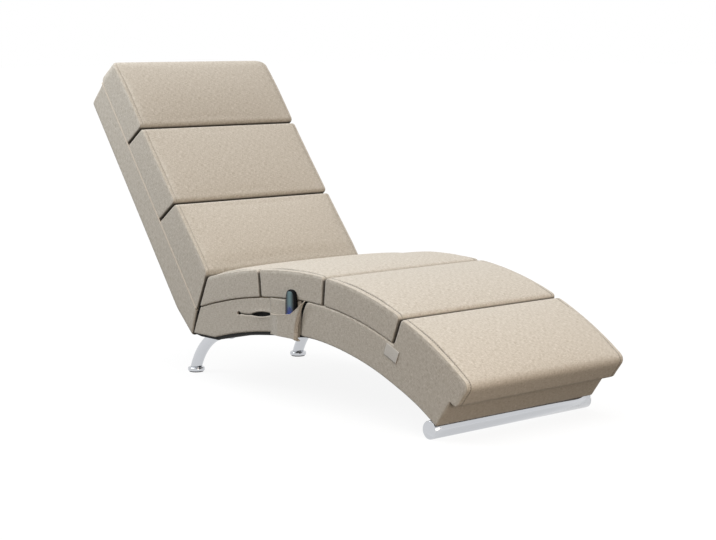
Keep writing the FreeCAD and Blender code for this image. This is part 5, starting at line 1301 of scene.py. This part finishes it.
class LOUNGER_OT_stage(bpy.types.Operator):
    """Camera at the photograph's angle, white floor, soft light"""
    bl_idname = "lounger.stage"
    bl_label = "Stage"

    def execute(self, context):
        scene = context.scene
        scene.view_settings.view_transform = "Standard"
        self.camera(scene)
        self.floor()
        self.world(scene)
        self.overhead()
        self.soft_box("side_box", SIDE_BOX, SIDE_BOX_PLACE, (-0.68, -WIDE, 0.72), "#F6FBFF")
        self.soft_box("front_box", FRONT_BOX, FRONT_BOX_PLACE, (0.75, 0.0, 0.15), "#FFEEDC")
        return {"FINISHED"}

    def camera(self, scene):
        lens = bpy.data.cameras.new("camera")
        lens.sensor_width, lens.lens = 36, CAMERA_LENS
        camera = linked("camera", lens)
        right = Vector((math.cos(CAMERA_AZIMUTH), math.sin(CAMERA_AZIMUTH), 0))
        behind = Vector((math.sin(CAMERA_AZIMUTH) * math.cos(CAMERA_ELEVATION),
                         -math.cos(CAMERA_AZIMUTH) * math.cos(CAMERA_ELEVATION), math.sin(CAMERA_ELEVATION)))
        turn = Matrix((right, behind.cross(right), behind)).transposed().to_4x4()
        camera.matrix_world = Matrix.Translation(CAMERA_PLACE) @ turn
        scene.camera = camera

    def seen(self, tree):
        """1 for what shows straight, in metal or through glass, and 0 for light thrown on the object."""
        path = add(tree, "ShaderNodeLightPath").outputs
        most = maths(tree, "MAXIMUM", path["Is Camera Ray"], path["Is Glossy Ray"])
        return maths(tree, "MAXIMUM", most, path["Is Transmission Ray"])

    def floor(self):
        """Pale floor: it shows white, with the object's faint shadow, and throws little light back."""
        mesh = bpy.data.meshes.new("floor")
        reach, low = 40.0, -0.0005
        corners = [(-reach, -reach, low), (reach, -reach, low), (reach, reach, low), (-reach, reach, low)]
        mesh.from_pydata(corners, [], [(0, 1, 2, 3)])
        made = bpy.data.materials.new("white_floor")
        made.use_nodes = True
        tree = made.node_tree
        tree.nodes.clear()
        dull = add(tree, "ShaderNodeBsdfDiffuse", {"Color": srgb("#4A4641")}).outputs[0]
        matt = add(tree, "ShaderNodeBsdfDiffuse", {"Color": srgb("#DCDCDC")}).outputs[0]
        white = add(tree, "ShaderNodeEmission", {"Color": (1, 1, 1, 1), "Strength": FLOOR_WHITE}).outputs[0]
        shown = add(tree, "ShaderNodeMixShader", {0: FLOOR_SHARE, 1: matt, 2: white}).outputs[0]
        mixed = add(tree, "ShaderNodeMixShader", {0: self.seen(tree), 1: dull, 2: shown}).outputs[0]
        add(tree, "ShaderNodeOutputMaterial", {"Surface": mixed})
        mesh.materials.append(made)
        linked("floor", mesh)

    def world(self, scene):
        """Shows white; its light is weak at the horizon, strong overhead and warm before the foot end."""
        sky = bpy.data.worlds.new("soft_box")
        sky.use_nodes = True
        tree = sky.node_tree
        tree.nodes.clear()
        way = add(tree, "ShaderNodeTexCoord").outputs["Generated"]
        parts = add(tree, "ShaderNodeSeparateXYZ", {0: way}).outputs
        ahead = add(tree, "ShaderNodeMapRange", {0: parts["X"], 1: 0.0, 2: 1.0}).outputs[0]
        tint = ramp(tree, ahead, [(0.0, srgb("#FBFDFF")), (0.8, srgb("#FFEEDA"))])
        climb = {0: parts["Z"], 1: 0.0, 2: 0.9, 3: SKY_LOW, 4: SKY_HIGH}
        plain = add(tree, "ShaderNodeMapRange", climb).outputs[0]
        level = maths(tree, "MULTIPLY_ADD", ahead, SKY_AHEAD, plain)
        light = add(tree, "ShaderNodeBackground", {"Color": tint, "Strength": level}).outputs[0]
        white = add(tree, "ShaderNodeBackground", {"Color": (1, 1, 1, 1), "Strength": 1.0}).outputs[0]
        mixed = add(tree, "ShaderNodeMixShader", {0: self.seen(tree), 1: light, 2: white}).outputs[0]
        add(tree, "ShaderNodeOutputWorld", {"Surface": mixed})
        scene.world = sky

    def overhead(self):
        """Wide soft light from above, a little from behind and from the pouch's side."""
        data = bpy.data.lights.new("overhead", "SUN")
        data.energy, data.angle = OVERHEAD, math.radians(75)
        self.lamp(data, (0, 0, 0), -Vector(OVERHEAD_FROM))

    def soft_box(self, name, power, place, aim, tint):
        """Square soft light at a place, aimed at a point."""
        data = bpy.data.lights.new(name, "AREA")
        data.energy, data.size, data.color = power, 0.9, srgb(tint)[:3]
        self.lamp(data, place, Vector(aim) - Vector(place))

    def lamp(self, data, place, way):
        """Puts a light at a place, turned to shine along a direction."""
        lamp = linked(data.name, data)
        lamp.location = place
        lamp.rotation_mode = "QUATERNION"
        lamp.rotation_quaternion = way.to_track_quat("-Z", "Y")


class LOUNGER_PT_panel(bpy.types.Panel):
    """Sizes, colours and pieces of the lounger"""
    bl_idname = "LOUNGER_PT_panel"
    bl_label = "Massage Lounger"
    bl_space_type = "VIEW_3D"
    bl_region_type = "UI"
    bl_category = "Lounger"

    def draw(self, context):
        layout = self.layout
        for group in (context.scene.lounger_form, context.scene.lounger_colours):
            for key in group.__annotations__:
                layout.prop(group, key)
        for operator in OPERATORS:
            layout.operator(operator.bl_idname)


OPERATORS = (LOUNGER_OT_inner_parts, LOUNGER_OT_cushions, LOUNGER_OT_base_covers, LOUNGER_OT_dust_cloth,
             LOUNGER_OT_chrome, LOUNGER_OT_pouch, LOUNGER_OT_handset, LOUNGER_OT_tab, LOUNGER_OT_stage)
CLASSES = (LoungerForm, LoungerColours, *OPERATORS, LOUNGER_PT_panel)


def register():
    for item in CLASSES:
        bpy.utils.register_class(item)
    bpy.types.Scene.lounger_form = PointerProperty(type=LoungerForm)
    bpy.types.Scene.lounger_colours = PointerProperty(type=LoungerColours)


def unregister():
    del bpy.types.Scene.lounger_colours
    del bpy.types.Scene.lounger_form
    for item in reversed(CLASSES):
        bpy.utils.unregister_class(item)


def main():
    register()
    bpy.ops.lounger.inner_parts()
    bpy.ops.lounger.cushions()
    bpy.ops.lounger.base_covers()
    bpy.ops.lounger.dust_cloth()
    bpy.ops.lounger.chrome()
    bpy.ops.lounger.pouch()
    bpy.ops.lounger.handset()
    bpy.ops.lounger.tab()
    bpy.ops.lounger.stage()
    bpy.context.view_layer.update()


if __name__ == "__main__":
    main()
